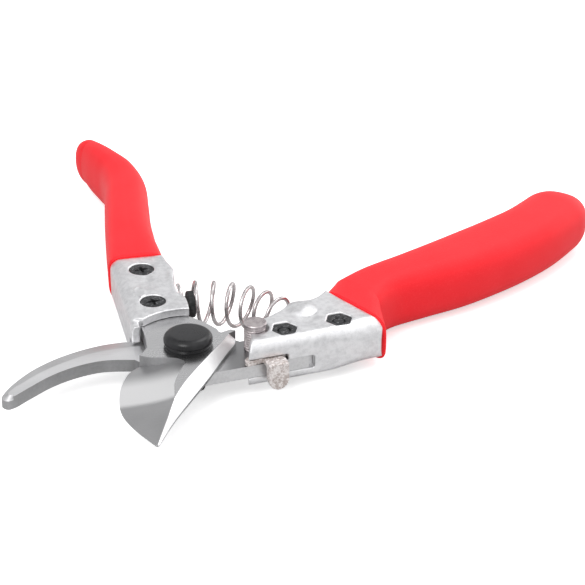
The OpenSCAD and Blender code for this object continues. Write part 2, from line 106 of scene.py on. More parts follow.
class Value:
    """A number that varies over a surface; arithmetic on it adds Math nodes."""

    def __init__(self, graph: "Graph", socket: bpy.types.NodeSocket) -> None:
        """Wraps one output socket of a node in the graph."""
        self.graph = graph
        self.socket = socket

    def _math(self, operation: str, first: object, second: object) -> "Value":
        """One Math node.

        Args:
            operation: the node's operation.
            first: the left operand, a Value or a number.
            second: the right operand.

        Returns:
            The node's output.
        """
        node = self.graph.node("ShaderNodeMath", {"operation": operation}, {0: first, 1: second})
        return Value(self.graph, node.outputs[0])

    def __add__(self, other: object) -> "Value":
        """self + other."""
        return self._math("ADD", self, other)

    def __radd__(self, other: object) -> "Value":
        """other + self."""
        return self._math("ADD", other, self)

    def __sub__(self, other: object) -> "Value":
        """self - other."""
        return self._math("SUBTRACT", self, other)

    def __rsub__(self, other: object) -> "Value":
        """other - self."""
        return self._math("SUBTRACT", other, self)

    def __mul__(self, other: object) -> "Value":
        """self * other."""
        return self._math("MULTIPLY", self, other)

    def __rmul__(self, other: object) -> "Value":
        """other * self."""
        return self._math("MULTIPLY", other, self)


class Graph:
    """The node tree of one material or of the world."""

    def __init__(self, tree: bpy.types.NodeTree) -> None:
        """Empties the tree, ready for new nodes."""
        self.tree = tree
        tree.nodes.clear()

    def node(self, kind: str, settings: dict | None = None, sockets: dict | None = None) -> bpy.types.Node:
        """Adds one node.

        Args:
            kind: the node's type.
            settings: its settings, set first; "stops" are a ramp's (place, colour) pairs.
            sockets: values or links of its inputs, by name or number.

        Returns:
            The node.
        """
        made = self.tree.nodes.new(kind)
        for name, value in (settings or {}).items():
            if name == "stops":
                self._stops(made.color_ramp, value)
            else:
                setattr(made, name, value)
        for name, value in (sockets or {}).items():
            if isinstance(value, Value):
                value = value.socket
            if isinstance(value, bpy.types.NodeSocket):
                self.tree.links.new(value, made.inputs[name])
            else:
                made.inputs[name].default_value = value
        return made

    @staticmethod
    def _stops(ramp: bpy.types.ColorRamp, stops: Sequence[tuple[float, Colour]]) -> None:
        """Sets a colour ramp's stops, the first two of which it already has."""
        while len(ramp.elements) < len(stops):
            ramp.elements.new(1.0)
        for element, (place, colour) in zip(ramp.elements, stops):
            element.position = place
            element.color = (*colour, 1.0)

    def place(self, stretch: Point = (1, 1, 1), turn: float = 0.0) -> bpy.types.NodeSocket:
        """Object coordinates, turned about Z and stretched."""
        coords = self.node("ShaderNodeTexCoord").outputs["Object"]
        turned = self.node("ShaderNodeMapping", {"vector_type": "POINT"},
                           {"Vector": coords, "Rotation": (0, 0, turn)})
        scaled = self.node("ShaderNodeVectorMath", {"operation": "MULTIPLY"},
                           {0: turned.outputs[0], 1: tuple(stretch)})
        return scaled.outputs[0]

    def noise(self, where: bpy.types.NodeSocket, size_mm: float, detail: float = 2.0,
              rough: float = 0.5) -> Value:
        """Smooth noise from 0 to 1.

        Args:
            where: the coordinates.
            size_mm: the size of its blotches.
            detail: how many finer layers it has.
            rough: how strong the finer layers are.

        Returns:
            The noise.
        """
        made = self.node("ShaderNodeTexNoise", {"noise_dimensions": "3D"},
                         {"Vector": where, "Scale": 1000.0 / size_mm, "Detail": detail, "Roughness": rough})
        return Value(self, made.outputs[0])

    def spots(self, where: bpy.types.NodeSocket, size_mm: float) -> Value:
        """Distance to the nearest of many scattered points, 0 at each point."""
        made = self.node("ShaderNodeTexVoronoi", {"feature": "F1"},
                         {"Vector": where, "Scale": 1000.0 / size_mm})
        return Value(self, made.outputs["Distance"])

    def span(self, value: Value, low: float, high: float, start: float = 0.0,
             end: float = 1.0) -> Value:
        """Maps low..high to start..end, clamped."""
        made = self.node("ShaderNodeMapRange", {"clamp": True, "interpolation_type": "SMOOTHSTEP"},
                         {"Value": value, "From Min": low, "From Max": high,
                          "To Min": start, "To Max": end})
        return Value(self, made.outputs[0])

    def mix(self, factor: Value, dark: object, light: object) -> bpy.types.NodeSocket:
        """A colour between two, by a factor; each may be a colour or a link."""
        def rgba(colour: object) -> object:
            """A plain colour with its alpha, or the link as it is."""
            return (*colour, 1.0) if isinstance(colour, tuple) else colour
        made = self.node("ShaderNodeMix", {"data_type": "RGBA"}, {0: factor, 6: rgba(dark), 7: rgba(light)})
        return made.outputs[2]

    def bump(self, height: Value, depth_mm: float,
             under: bpy.types.NodeSocket | None = None) -> bpy.types.NodeSocket:
        """A Bump node over the height, on top of another one if given."""
        sockets = {"Height": height, "Distance": depth_mm * MM, "Strength": 1.0}
        if under is not None:
            sockets["Normal"] = under
        return self.node("ShaderNodeBump", {}, sockets).outputs[0]

    def surface(self, **sockets: object) -> None:
        """Ends the tree in a Principled shader; spaces in socket names are underscores here."""
        named = {name.replace("_", " "): value for name, value in sockets.items()}
        shader = self.node("ShaderNodeBsdfPrincipled", {}, named)
        self.node("ShaderNodeOutputMaterial", {}, {"Surface": shader.outputs[0]})


# ---- Finishes -------------------------------------------------------------------------------


@dataclass(frozen=True)
class Finish:
    """One finish; each kind paints its own node tree."""

    name: str

    def paint(self, graph: Graph) -> None:
        """Fills the material's node tree."""
        raise NotImplementedError

    def material(self) -> bpy.types.Material:
        """The finish as a material, made once."""
        found = bpy.data.materials.get(self.name)
        if found is not None:
            return found
        made = bpy.data.materials.new(self.name)
        made.use_nodes = True
        self.paint(Graph(made.node_tree))
        return made


@dataclass(frozen=True)
class GripRubber(Finish):
    """Soft red plastic with a fine grain."""

    base: Colour = (0.96, 0.009, 0.018)
    pale: Colour = (1.0, 0.018, 0.028)
    grain_mm: float = 0.42

    def paint(self, graph: Graph) -> None:
        """Fine grain, the faintest blotches and a soft gloss."""
        where = graph.place()
        grain = graph.noise(where, self.grain_mm, 3.0, 0.65)
        blotch = graph.noise(where, 9.0, 2.0)
        speck = graph.span(grain, 0.56, 0.74)
        tone = graph.span(blotch * 0.3 + grain * 0.7, 0.3, 0.7)
        colour = graph.mix(tone, self.base, self.pale)
        colour = graph.mix(speck * 0.4, colour, (1.0, 0.07, 0.08))
        graph.surface(Base_Color=colour, Roughness=graph.span(grain, 0.3, 0.7, 0.5, 0.62),
                      Specular_IOR_Level=0.35, Sheen_Weight=0.08, Sheen_Roughness=0.4,
                      Normal=graph.bump(grain, 0.06))


@dataclass(frozen=True)
class CastAlloy(Finish):
    """Cast aluminium, tumbled to a mottled satin."""

    dark: Colour = (0.76, 0.76, 0.77)
    light: Colour = (0.93, 0.93, 0.94)

    def paint(self, graph: Graph) -> None:
        """Small blotches of tumbling, tiny dents and a fine tooth."""
        where = graph.place()
        blotch = graph.noise(where, 1.7, 4.0, 0.62)
        tooth = graph.noise(where, 0.42, 3.0, 0.6)
        drift = graph.noise(where, 7.0, 2.0, 0.5)
        mottle = blotch * 0.55 + tooth * 0.25 + drift * 0.2
        nick = graph.span(graph.spots(where, 3.4), 0.0, 0.07, 1.0, 0.0)
        colour = graph.mix(graph.span(mottle, 0.36, 0.6), self.dark, self.light)
        rough = graph.span(mottle, 0.35, 0.65, 0.32, 0.48)
        normal = graph.bump(nick, -0.03, graph.bump(tooth, 0.022, graph.bump(blotch, 0.05)))
        graph.surface(Base_Color=colour, Metallic=1.0, Roughness=rough, Normal=normal)


@dataclass(frozen=True)
class GroundSteel(Finish):
    """Ground steel with fine grinding lines across the jaw; it may also carry a painted shadow on the tang
    and a bright painted reflection across the jaw.
    """

    dark: Colour = (0.53, 0.53, 0.535)
    light: Colour = (0.6, 0.6, 0.605)
    turn: float = 0.0
    rough: float = 0.25
    # A darker colour for the tang, if any: a painted shadow of the blade's heel
    tang: Colour | None = None
    tang_shade_from: tuple[float, float] = (0.0, 12.0)
    # The colour of a bright painted reflection across the jaw, if any
    painted_reflection: Colour | None = None
    painted_reflection_edges: tuple[float, float, float, float] = (-32.0, -29.0, -21.0, -12.0)

    def painted_reflection_mask(self, graph: Graph, along: Value) -> Value:
        """Where the bright painted reflection lies across the jaw.

        Args:
            graph: the material's tree.
            along: the distance along the jaw, in metres.

        Returns:
            1 in the painted reflection, falling to 0 on both sides.
        """
        start, full, fade, end = (edge * MM for edge in self.painted_reflection_edges)
        return graph.span(along, start, full) * graph.span(along, fade, end, 1.0, 0.0)

    def paint(self, graph: Graph) -> None:
        """Fine lines across the jaw, a slight drift of tone and a soft satin."""
        streak = graph.noise(graph.place((0.03, 1.0, 0.3), self.turn), 0.3, 3.0, 0.6)
        where = graph.place()
        drift = graph.noise(where, 12.0, 2.0, 0.5)
        tooth = graph.noise(where, 0.5, 3.0, 0.6)
        tone = streak * 0.35 + drift * 0.45 + tooth * 0.2
        colour = graph.mix(graph.span(tone, 0.3, 0.7), self.dark, self.light)
        # Painted shadow: the colour turns darker along the tang, where the blade's heel shades it
        if self.tang is not None:
            parts = graph.node("ShaderNodeSeparateXYZ", {}, {0: where})
            along = Value(graph, parts.outputs[0]) + (drift - 0.5) * 0.006
            start, end = self.tang_shade_from
            colour = graph.mix(graph.span(along, start * MM, end * MM), colour, self.tang)
        # Painted reflection: a bright stripe across the jaw, painted into the colour
        if self.painted_reflection is not None:
            parts = graph.node("ShaderNodeSeparateXYZ", {}, {0: graph.place((1, 1, 1), self.turn)})
            along = Value(graph, parts.outputs[1]) + (streak - 0.5) * 0.0012
            colour = graph.mix(self.painted_reflection_mask(graph, along), colour, self.painted_reflection)
        graph.surface(Base_Color=colour, Metallic=1.0, Normal=graph.bump(streak, 0.001),
                      Roughness=graph.span(tone, 0.3, 0.7, self.rough - 0.02, self.rough + 0.04))


@dataclass(frozen=True)
class DarkSteel(Finish):
    """Blackened screws and nuts, worn grey in places."""

    dark: Colour = (0.035, 0.036, 0.038)
    worn: Colour = (0.3, 0.3, 0.31)

    def paint(self, graph: Graph) -> None:
        """Black oxide that small rubs have turned grey."""
        where = graph.place()
        rub = graph.span(graph.noise(where, 1.1, 4.0, 0.7), 0.52, 0.72)
        tooth = graph.noise(where, 0.3, 2.0)
        graph.surface(Base_Color=graph.mix(rub, self.dark, self.worn),
                      Metallic=graph.span(rub, 0, 1, 0.6, 1.0),
                      Roughness=graph.span(tooth, 0.3, 0.7, 0.3, 0.48),
                      Normal=graph.bump(tooth, 0.015))


@dataclass(frozen=True)
class PlatedSteel(Finish):
    """Plated steel with a warm tint."""

    dark: Colour = (0.42, 0.37, 0.38)
    light: Colour = (0.62, 0.57, 0.57)
    rough: float = 0.3
    size_mm: float = 2.2

    def paint(self, graph: Graph) -> None:
        """Thin plating whose tone drifts, with fine scratches."""
        where = graph.place()
        drift = graph.noise(where, self.size_mm, 3.0, 0.6)
        tooth = graph.noise(where, 0.25, 2.0)
        blend = tooth * 0.5 + drift * 0.5
        graph.surface(Base_Color=graph.mix(graph.span(drift, 0.35, 0.65), self.dark, self.light),
                      Metallic=1.0, Normal=graph.bump(tooth, 0.008),
                      Roughness=graph.span(blend, 0.3, 0.7, self.rough - 0.05, self.rough + 0.1))


@dataclass(frozen=True)
class RoughCastZinc(Finish):
    """The latch's rough, pitted alloy."""

    dark: Colour = (0.56, 0.49, 0.46)
    light: Colour = (0.97, 0.92, 0.9)

    def paint(self, graph: Graph) -> None:
        """Pits with darker, browner floors between brighter heights."""
        where = graph.place()
        pits = graph.noise(where, 0.7, 4.0, 0.65)
        blotch = graph.noise(where, 2.5, 2.0)
        tone = graph.span(pits * 0.75 + blotch * 0.25, 0.38, 0.6)
        graph.surface(Base_Color=graph.mix(tone, self.dark, self.light), Metallic=0.85,
                      Roughness=graph.span(pits, 0.3, 0.7, 0.58, 0.38),
                      Normal=graph.bump(pits, 0.12, graph.bump(blotch, 0.1)))


@dataclass(frozen=True)
class BlackPlastic(Finish):
    """Semi-gloss black moulding."""

    base: Colour = (0.008, 0.008, 0.009)
    worn: Colour = (0.02, 0.02, 0.022)

    def paint(self, graph: Graph) -> None:
        """Faint haze and very fine moulding grain."""
        where = graph.place()
        haze = graph.noise(where, 4.0, 3.0, 0.6)
        grain = graph.noise(where, 0.35, 2.0)
        graph.surface(Base_Color=graph.mix(graph.span(haze, 0.35, 0.7), self.base, self.worn),
                      Roughness=graph.span(haze, 0.3, 0.7, 0.26, 0.34), Specular_IOR_Level=0.4,
                      Normal=graph.bump(grain, 0.008))


@dataclass(frozen=True)
class BufferRubber(Finish):
    """Dull black rubber."""

    base: Colour = (0.02, 0.02, 0.021)
    dusty: Colour = (0.075, 0.075, 0.078)

    def paint(self, graph: Graph) -> None:
        """Matte black with a little dust."""
        where = graph.place()
        dust = graph.noise(where, 1.2, 4.0, 0.65)
        graph.surface(Base_Color=graph.mix(graph.span(dust, 0.4, 0.75), self.base, self.dusty),
                      Roughness=graph.span(dust, 0.3, 0.7, 0.6, 0.8), Normal=graph.bump(dust, 0.03))


@dataclass(frozen=True)
class PaleTable(Finish):
    """The matte white table, seen white but lighting the pruner from below more gently."""

    seen: Colour = (0.93, 0.93, 0.93)
    under: Colour = (0.62, 0.62, 0.62)
    lift: float = 0.6

    def paint(self, graph: Graph) -> None:
        """White with the faintest cloud; only the eye sees the full white."""
        cloud = graph.noise(graph.place(), 160.0, 2.0)
        colour = graph.mix(cloud, self.seen, (0.95, 0.95, 0.95))
        white = graph.node("ShaderNodeBsdfPrincipled", {}, {
            "Base Color": colour, "Roughness": 0.8, "Specular IOR Level": 0.1,
            "Emission Color": colour, "Emission Strength": self.lift})
        dim = graph.node("ShaderNodeBsdfDiffuse", {}, {"Color": (*self.under, 1.0)})
        eye = graph.node("ShaderNodeLightPath").outputs["Is Camera Ray"]
        both = graph.node("ShaderNodeMixShader", {}, {0: eye, 1: dim.outputs[0], 2: white.outputs[0]})
        graph.node("ShaderNodeOutputMaterial", {}, {"Surface": both.outputs[0]})


class Finishes:
    """Every finish of the pruner."""

    GRIP = GripRubber("red_grip")
    ALLOY = CastAlloy("tumbled_alloy")
    BLADE = GroundSteel("ground_blade", turn=math.radians(20.0))
    # The hollow is rougher and darker than the flats; its bright stripe across the jaw is a painted
    # reflection
    HOLLOW = GroundSteel("hollow_ground", (0.45, 0.45, 0.455), (0.51, 0.51, 0.515), math.radians(20.0), 0.4,
                         painted_reflection=(0.97, 0.97, 0.97))
    # The blade's sides are rougher and painted darker than its flats: painted shade
    BLADE_SIDE_SHADE = GroundSteel("blade_side", (0.34, 0.34, 0.345), (0.46, 0.46, 0.465), 0.0, 0.4)
    # The spine's chamfer painted near white: a painted highlight
    SPINE_HIGHLIGHT = GroundSteel("spine_painted_highlight", (0.95, 0.95, 0.955), (1.0, 1.0, 1.0), 0.0, 0.46)
    # The hook's tang is painted darker: a painted shadow of the blade's heel
    HOOK = GroundSteel("ground_hook", (0.76, 0.76, 0.765), (0.9, 0.9, 0.905), math.radians(20), 0.3,
                       (0.3, 0.3, 0.305))
    # Also on the tang's sides, which it paints lighter than the other sides: painted light
    HOOK_BEVEL = GroundSteel("bevelled_hook", (0.62, 0.62, 0.625), (0.8, 0.8, 0.805), math.radians(20), 0.36)
    # The hook's sides are rougher and painted darker than its flats: painted shade
    HOOK_SIDE_SHADE = GroundSteel("hook_side", (0.4, 0.4, 0.405), (0.52, 0.52, 0.525), 0.0, 0.4)
    DARK = DarkSteel("blackened_steel")
    PLATED = PlatedSteel("plated_stud")
    WASHER = PlatedSteel("plated_washer", (0.5, 0.5, 0.51), (0.66, 0.66, 0.67))
    WIRE = PlatedSteel("spring_wire", (0.5, 0.46, 0.46), (0.72, 0.69, 0.69), 0.2, 3.0)
    ZINC = RoughCastZinc("rough_latch")
    CAP = BlackPlastic("black_cap")
    RUBBER = BufferRubber("black_rubber")
    TABLE = PaleTable("pale_table")


# The castings' lower and upper faces
CASTING_HEIGHTS = (3.2, 16.8)

# ---- Mesh making ----------------------------------------------------------------------------


def curve(points: Sequence[Point], steps: int) -> np.ndarray:
    """A smooth open curve through the points, with a number of steps between each pair."""
    p = np.array(points, float)
    last = len(p) - 1
    out = []
    for i in range(last):
        a, b, c, d = p[max(i - 1, 0)], p[i], p[i + 1], p[min(i + 2, last)]
        for t in np.arange(steps) / steps:
            out.append((2 * b + (c - a) * t + (2 * a - 5 * b + 4 * c - d) * t * t
                        + (3 * b - a - 3 * c + d) * t ** 3) / 2)
    return np.array(out + [p[last]])


def arc(radius: float, start: float, end: float, steps: int) -> np.ndarray:
    """Points of an arc about the pivot, between two angles in degrees."""
    turn = np.radians(np.linspace(start, end, steps + 1))
    return np.stack([radius * np.cos(turn), radius * np.sin(turn)], 1)


def turned(points: np.ndarray, angle: float) -> np.ndarray:
    """Points turned about the pivot axis."""
    c, s = math.cos(angle), math.sin(angle)
    out = points.copy()
    out[:, 0] = c * points[:, 0] - s * points[:, 1]
    out[:, 1] = s * points[:, 0] + c * points[:, 1]
    return out


@contextmanager
def edited(mesh: bpy.types.Mesh) -> Iterator[bmesh.types.BMesh]:
    """The mesh opened for editing, and written back afterwards."""
    work = bmesh.new()
    work.from_mesh(mesh)
    yield work
    work.to_mesh(mesh)
    work.free()


def made_object(name: str, mesh: bpy.types.Mesh) -> bpy.types.Object:
    """A new object in the scene with the mesh, smooth all over."""
    mesh.polygons.foreach_set("use_smooth", [True] * len(mesh.polygons))
    made = bpy.data.objects.new(name, mesh)
    bpy.context.scene.collection.objects.link(made)
    return made


def loft(name: str, rings: Sequence[np.ndarray], loop: bool = False) -> bpy.types.Object:
    """A closed skin through rings of points.

    Args:
        name: the object's name.
        rings: one array of points for each ring, all of one length, in millimetres.
        loop: True if the last ring joins the first instead of being capped.

    Returns:
        The object.
    """
    count, sides = len(rings), len(rings[0])
    points = np.concatenate(rings) * MM
    faces = []
    for i in range(count if loop else count - 1):
        a, b = i * sides, ((i + 1) % count) * sides
        faces += [(a + k, a + (k + 1) % sides, b + (k + 1) % sides, b + k) for k in range(sides)]
    if not loop:
        faces.append(tuple(range(sides - 1, -1, -1)))
        faces.append(tuple((count - 1) * sides + k for k in range(sides)))
    mesh = bpy.data.meshes.new(name)
    mesh.from_pydata(points.tolist(), [], faces)
    with edited(mesh) as work:
        bmesh.ops.recalc_face_normals(work, faces=work.faces)
    return made_object(name, mesh)


def plate(name: str, outline: np.ndarray, low: float, high: float) -> bpy.types.Object:
    """A flat plate with the outline, between two heights."""
    rings = [np.column_stack([outline, np.full(len(outline), z)]) for z in (low, high)]
    return loft(name, rings)


def edge_split_shading(piece: bpy.types.Object, angle: float) -> None:
    """Marks edges sharper than the angle, in degrees, so that flats stay flat."""
    limit = math.radians(angle)
    with edited(piece.data) as work:
        for edge in work.edges:
            edge.smooth = len(edge.link_faces) == 2 and edge.calc_face_angle(0.0) < limit


def round_ring(radius: float, z: float, sides: int) -> np.ndarray:
    """A level circle of points about the Z axis."""
    turn = np.arange(sides) * 2 * math.pi / sides
    return np.stack([radius * np.cos(turn), radius * np.sin(turn), np.full(sides, z)], 1)


def baked(node: str) -> bpy.types.Mesh:
    """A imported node's mesh, copied and with its doubled points joined."""
    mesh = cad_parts[node].data.copy()
    with edited(mesh) as work:
        bmesh.ops.remove_doubles(work, verts=work.verts, dist=2e-6)
    return mesh


def applied(piece: bpy.types.Object) -> None:
    """Turns the piece's modifiers into mesh."""
    depsgraph = bpy.context.evaluated_depsgraph_get()
    depsgraph.update()
    mesh = bpy.data.meshes.new_from_object(piece.evaluated_get(depsgraph))
    piece.modifiers.clear()
    piece.data = mesh
    mesh.polygons.foreach_set("use_smooth", [True] * len(mesh.polygons))


def soften(piece: bpy.types.Object, voxel: float, rounds: int) -> None:
    """Rebuilds the piece from small voxels and smooths its edges.

    Args:
        piece: the object.
        voxel: the voxels' size in millimetres.
        rounds: how many times it is smoothed.
    """
    remesh = piece.modifiers.new("skin", "REMESH")
    remesh.mode = "VOXEL"
    remesh.voxel_size = voxel * MM
    soft = piece.modifiers.new("soften", "SMOOTH")
    soft.factor = 0.5
    soft.iterations = rounds
    applied(piece)


def coords(piece: bpy.types.Object) -> np.ndarray:
    """The piece's points, in millimetres."""
    flat = np.zeros(len(piece.data.vertices) * 3, np.float32)
    piece.data.vertices.foreach_get("co", flat)
    return flat.reshape(-1, 3).astype(float) / MM


def set_coords(piece: bpy.types.Object, points: np.ndarray) -> None:
    """Puts the piece's points back, from millimetres."""
    piece.data.vertices.foreach_set("co", (points * MM).astype(np.float32).ravel())
    piece.data.update()


def hump(distance: np.ndarray, reach: float) -> np.ndarray:
    """1 at distance 0, falling smoothly to 0 at the reach."""
    t = np.clip(1 - distance / reach, 0, 1)
    return t * t * (3 - 2 * t)


def spot(x: np.ndarray, y: np.ndarray, at: Point, reach: Point) -> np.ndarray:
    """1 at a place in plan, falling smoothly to 0 at its reach along x and along y."""
    return hump(np.abs(x - at[0]), reach[0]) * hump(np.abs(y - at[1]), reach[1])


def dress(piece: bpy.types.Object, finish: Finish, body: Body, slot: Slot, *nodes: str) -> bpy.types.Object:
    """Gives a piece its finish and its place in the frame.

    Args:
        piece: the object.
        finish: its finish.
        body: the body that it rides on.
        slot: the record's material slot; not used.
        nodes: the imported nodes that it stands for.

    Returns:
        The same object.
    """
    piece.data.materials.clear()
    piece.data.materials.append(finish.material())
    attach(piece, body.value)
    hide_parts(*nodes)
    log.info("%s: %d points, stands for %s", piece.name, len(piece.data.vertices), ", ".join(nodes))
    return piece


def node_middle(node: str) -> tuple[float, float, float, float]:
    """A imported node's middle x and y, and its lowest and highest z, in millimetres."""
    low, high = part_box(node)
    return ((low.x + high.x) / 2 / MM, (low.y + high.y) / 2 / MM, low.z / MM, high.z / MM)


# ---- Grips ----------------------------------------------------------------------------------


@dataclass
class Station:
    """One cross-section of a grip, in its lever's own frame."""

    x: float
    y: float
    half_width: float
    half_thickness: float
    heading: float
    squareness: float

    def values(self) -> np.ndarray:
        """Its six numbers."""
        return np.array([self.x, self.y, self.half_width, self.half_thickness, self.heading,
                         self.squareness])


# Half the thickness of both grips at the mouth
GRIP_MOUTH = 7.5


@dataclass
class Grip:
    """A moulded sleeve that ends in a round nose."""

    name: str
    node: str
    body: Body
    angle: float
    stations: list[Station]
    nose: float
    wall: float = 2.6
    sides: int = 96
    steps: int = 10
    nose_power: float = 0.88
    rim_round: float = 0.35
    socket_square: float = 2.8

    @staticmethod
    def ring(s: np.ndarray, inset: float, squash: float, sides: int) -> np.ndarray:
        """The points of one cross-section.

        Args:
            s: the station's six numbers.
            inset: how far it is shrunk on all sides.
            squash: a factor on both half sizes.
            sides: the number of points.

        Returns:
            The points, in the lever's own frame.
        """
        turn = np.arange(sides) * 2 * math.pi / sides
        heading = math.radians(s[4])
        cos, sin = np.cos(turn), np.sin(turn)
        u = (s[2] - inset) * squash * np.sign(cos) * np.abs(cos) ** (2 / s[5])
        v = (s[3] - inset) * squash * np.sign(sin) * np.abs(sin) ** (2 / s[5])
        return np.stack([s[0] + u * math.sin(heading), s[1] - u * math.cos(heading), LEVEL + v], 1)

    def rings(self) -> list[np.ndarray]:
        """All rings, from the bottom of the socket out over the rim to the nose."""
        own = [s.values() for s in self.stations]
        body = own[:2] + list(curve(own[2:], self.steps))
        socket = [s.copy() for s in own[:2] + list(curve(own[2:-2], self.steps))]
        for s in socket:
            s[5] = self.socket_square
        inner = [self.ring(s, self.wall, 1, self.sides) for s in reversed(socket)]
        rim = [self.ring(own[0], self.rim_round, 1, self.sides)]
        first = own[0].copy()
        first[:2] += self.rim_round * np.array([math.cos(math.radians(own[0][4])),
                                                math.sin(math.radians(own[0][4]))])
        outer = [self.ring(s, 0, 1, self.sides) for s in [first] + body[1:]]
        nose = []
        end = own[-1]
        for t in np.radians(np.linspace(0, 89.5, 22)[1:]):
            s = end.copy()
            s[0] += self.nose * math.sin(t) * math.cos(math.radians(end[4]))
            s[1] += self.nose * math.sin(t) * math.sin(math.radians(end[4]))
            nose.append(self.ring(s, 0, math.cos(t) ** self.nose_power, self.sides))
        return inner + rim + outer + nose

    def build(self) -> bpy.types.Object:
        """The grip's skin in its red finish."""
        rings = [turned(r, self.angle) for r in self.rings()]
        piece = loft(self.name, rings)
        edge_split_shading(piece, 50)
        return dress(piece, Finishes.GRIP, self.body, Slot.GRIP, self.node)


def blade_grip() -> Grip:
    """The blade lever's grip."""
    stations = [Station(54.6, 6.7, 9, GRIP_MOUTH, 0, 5), Station(56, 6.7, 9, GRIP_MOUTH + 0.1, 0, 4.6),
                Station(70, 6, 8.2, 8.6, -5, 3), Station(86, 4.6, 7.7, 9.3, -7, 2.7),
                Station(102, 2.6, 7.5, 9.5, -8, 2.7), Station(114, 1.2, 7.2, 9.7, -5, 2.7),
                Station(125, 1.9, 6.3, 10, 4, 2.6), Station(133, 4.2, 5.5, 9.9, 13, 2.5),
                Station(140.5, 6.6, 5.0, 9.4, 22, 2.4), Station(146.5, 8.4, 4.5, 8.5, 26, 2.3)]
    return Grip("grip_of_blade_handle", "blade_grip", Body.BLADE, OPEN_ANGLE, stations, 7.6)


def hook_grip() -> Grip:
    """The hook lever's grip, with the wide flange at its mouth."""
    stations = [Station(52.9, 0.9, 14, GRIP_MOUTH, 20, 4.6), Station(53.4, 1.1, 14, GRIP_MOUTH, 20, 4.4),
                Station(57.6, 10.2, 9.4, 8.8, 27, 3.4), Station(66.5, 15.1, 8.9, 9.6, 22, 2.8),
                Station(80, 18.8, 10, 9.8, 17, 2.7), Station(93, 22.3, 11.3, 10, 19, 2.7),
                Station(106, 26.8, 11.9, 10, 22, 2.7), Station(118, 31.6, 11.9, 10, 25, 2.7),
                Station(130, 37.5, 11.6, 10, 29, 2.6), Station(141, 45, 11.4, 9.8, 38, 2.5)]
    return Grip("grip_of_hook_handle", "hook_grip", Body.HOOK, 0.0, stations, 14.5)


# ---- Castings -------------------------------------------------------------------------------


@dataclass
class Casting:
    """A cast handle head with softened edges; what the grip hides is trimmed."""

    name: str
    node: str
    body: Body
    angle: float
    mouth: tuple[float, float, float]
    keep: float = 6.0
    voxel: float = 0.26
    rounds: int = 5

    def trim(self, mesh: bpy.types.Mesh) -> None:
        """Cuts the mesh off a little way inside the grip."""
        x, y, heading = self.mouth
        way = Vector((math.cos(math.radians(heading)), math.sin(math.radians(heading)), 0))
        end = Vector((x, y, 0)) + way * self.keep
        turn = Matrix.Rotation(self.angle, 3, "Z")
        with edited(mesh) as work:
            everything = work.verts[:] + work.edges[:] + work.faces[:]
            cut = bmesh.ops.bisect_plane(work, geom=everything, plane_co=turn @ end * MM,
                                         plane_no=turn @ way, clear_outer=True)
            edges = [e for e in cut["geom_cut"] if isinstance(e, bmesh.types.BMEdge)]
            bmesh.ops.edgeloop_fill(work, edges=edges)

    def cutters(self) -> list[bpy.types.Object]:
        """Solids that are cut away first, where the lever stands in the frame."""
        return []

    @staticmethod
    def rounded(points: np.ndarray, corner: Point, radius: np.ndarray) -> np.ndarray:
        """Pulls a long edge along X in to a rounder corner.

        Args:
            points: the casting's points.
            corner: the y and z of the sharp edge.
            radius: the corner's radius at each point.

        Returns:
            The points, with those beyond the rounder corner moved onto it.
        """
        out = points.copy()
        side = math.copysign(1.0, corner[0])
        lift = math.copysign(1.0, corner[1] - LEVEL)
        across = (points[:, 1] - corner[0]) * side + radius
        up = (points[:, 2] - corner[1]) * lift + radius
        over = np.hypot(across, up)
        moved = (across > 0) & (up > 0) & (over > radius)
        pull = np.where(moved, radius / np.maximum(over, 1e-6), 1.0)
        out[:, 1] = np.where(moved, corner[0] + side * (across * pull - radius), out[:, 1])
        out[:, 2] = np.where(moved, corner[1] + lift * (up * pull - radius), out[:, 2])
        return out

    def sculpt(self, points: np.ndarray) -> np.ndarray:
        """Dents and swellings, in the lever's own frame; a plain casting has none."""
        return points

    def build(self) -> bpy.types.Object:
        """The softened casting."""
        mesh = baked(self.node)
        self.trim(mesh)
        piece = made_object(self.name, mesh)
        subtract(piece, self.cutters())
        soften(piece, self.voxel, self.rounds)
        own = turned(coords(piece), -self.angle)
        set_coords(piece, turned(self.sculpt(own), self.angle))
        return dress(piece, Finishes.ALLOY, self.body, Slot.CAST_ALLOY, self.node)


@dataclass
class BladeCasting(Casting):
    """The blade lever's casting: a valley between its screws, an oval mark and a raised rim."""

    mark_at: tuple[float, float] = (31.0, 9.4)
    mark_size: tuple[float, float] = (3.0, 1.5)
    valley_at: tuple[float, float] = (37.0, 5.5)
    mark_edge: tuple[float, float] = (0.32, 0.16)
    valley_reach: tuple[float, float] = (9.0, 3.0)
    valley_depth: float = 0.5
    rim_at: tuple[float, float] = (36.0, -1.2)
    rim_reach: tuple[float, float] = (16.0, 1.3)
    rim_raise: float = 0.35
    side_y: float = 15.2
    top_round: float = 3.4
    skin: float = 2.4
    swell: float = 0.9
    swell_at: tuple[float, float] = (43.5, -0.5)
    swell_reach: tuple[float, float] = (7.0, 3.0)

    def sculpt(self, points: np.ndarray) -> np.ndarray:
        """The valley, the mark, a rounder outer edge, a raised rim and a fuller inner side."""
        x, y, z = points.T
        high = CASTING_HEIGHTS[1]
        out = self.rounded(points, (self.side_y, high), np.full(len(points), self.top_round))
        top = hump(np.abs(z - high), self.skin)
        valley = spot(x, y, self.valley_at, self.valley_reach)
        oval = np.hypot((x - self.mark_at[0]) / self.mark_size[0], (y - self.mark_at[1]) / self.mark_size[1])
        width, rise = self.mark_edge
        ring = hump(np.abs(oval - 1), width)
        out[:, 2] += top * (rise * ring - self.valley_depth * valley)
        out[:, 2] += self.rim_raise * top * spot(x, y, self.rim_at, self.rim_reach)
        inner = hump(np.maximum(y - self.swell_at[1], 0), self.swell_reach[1])
        out[:, 1] -= self.swell * inner * hump(np.abs(x - self.swell_at[0]), self.swell_reach[0])
        return out


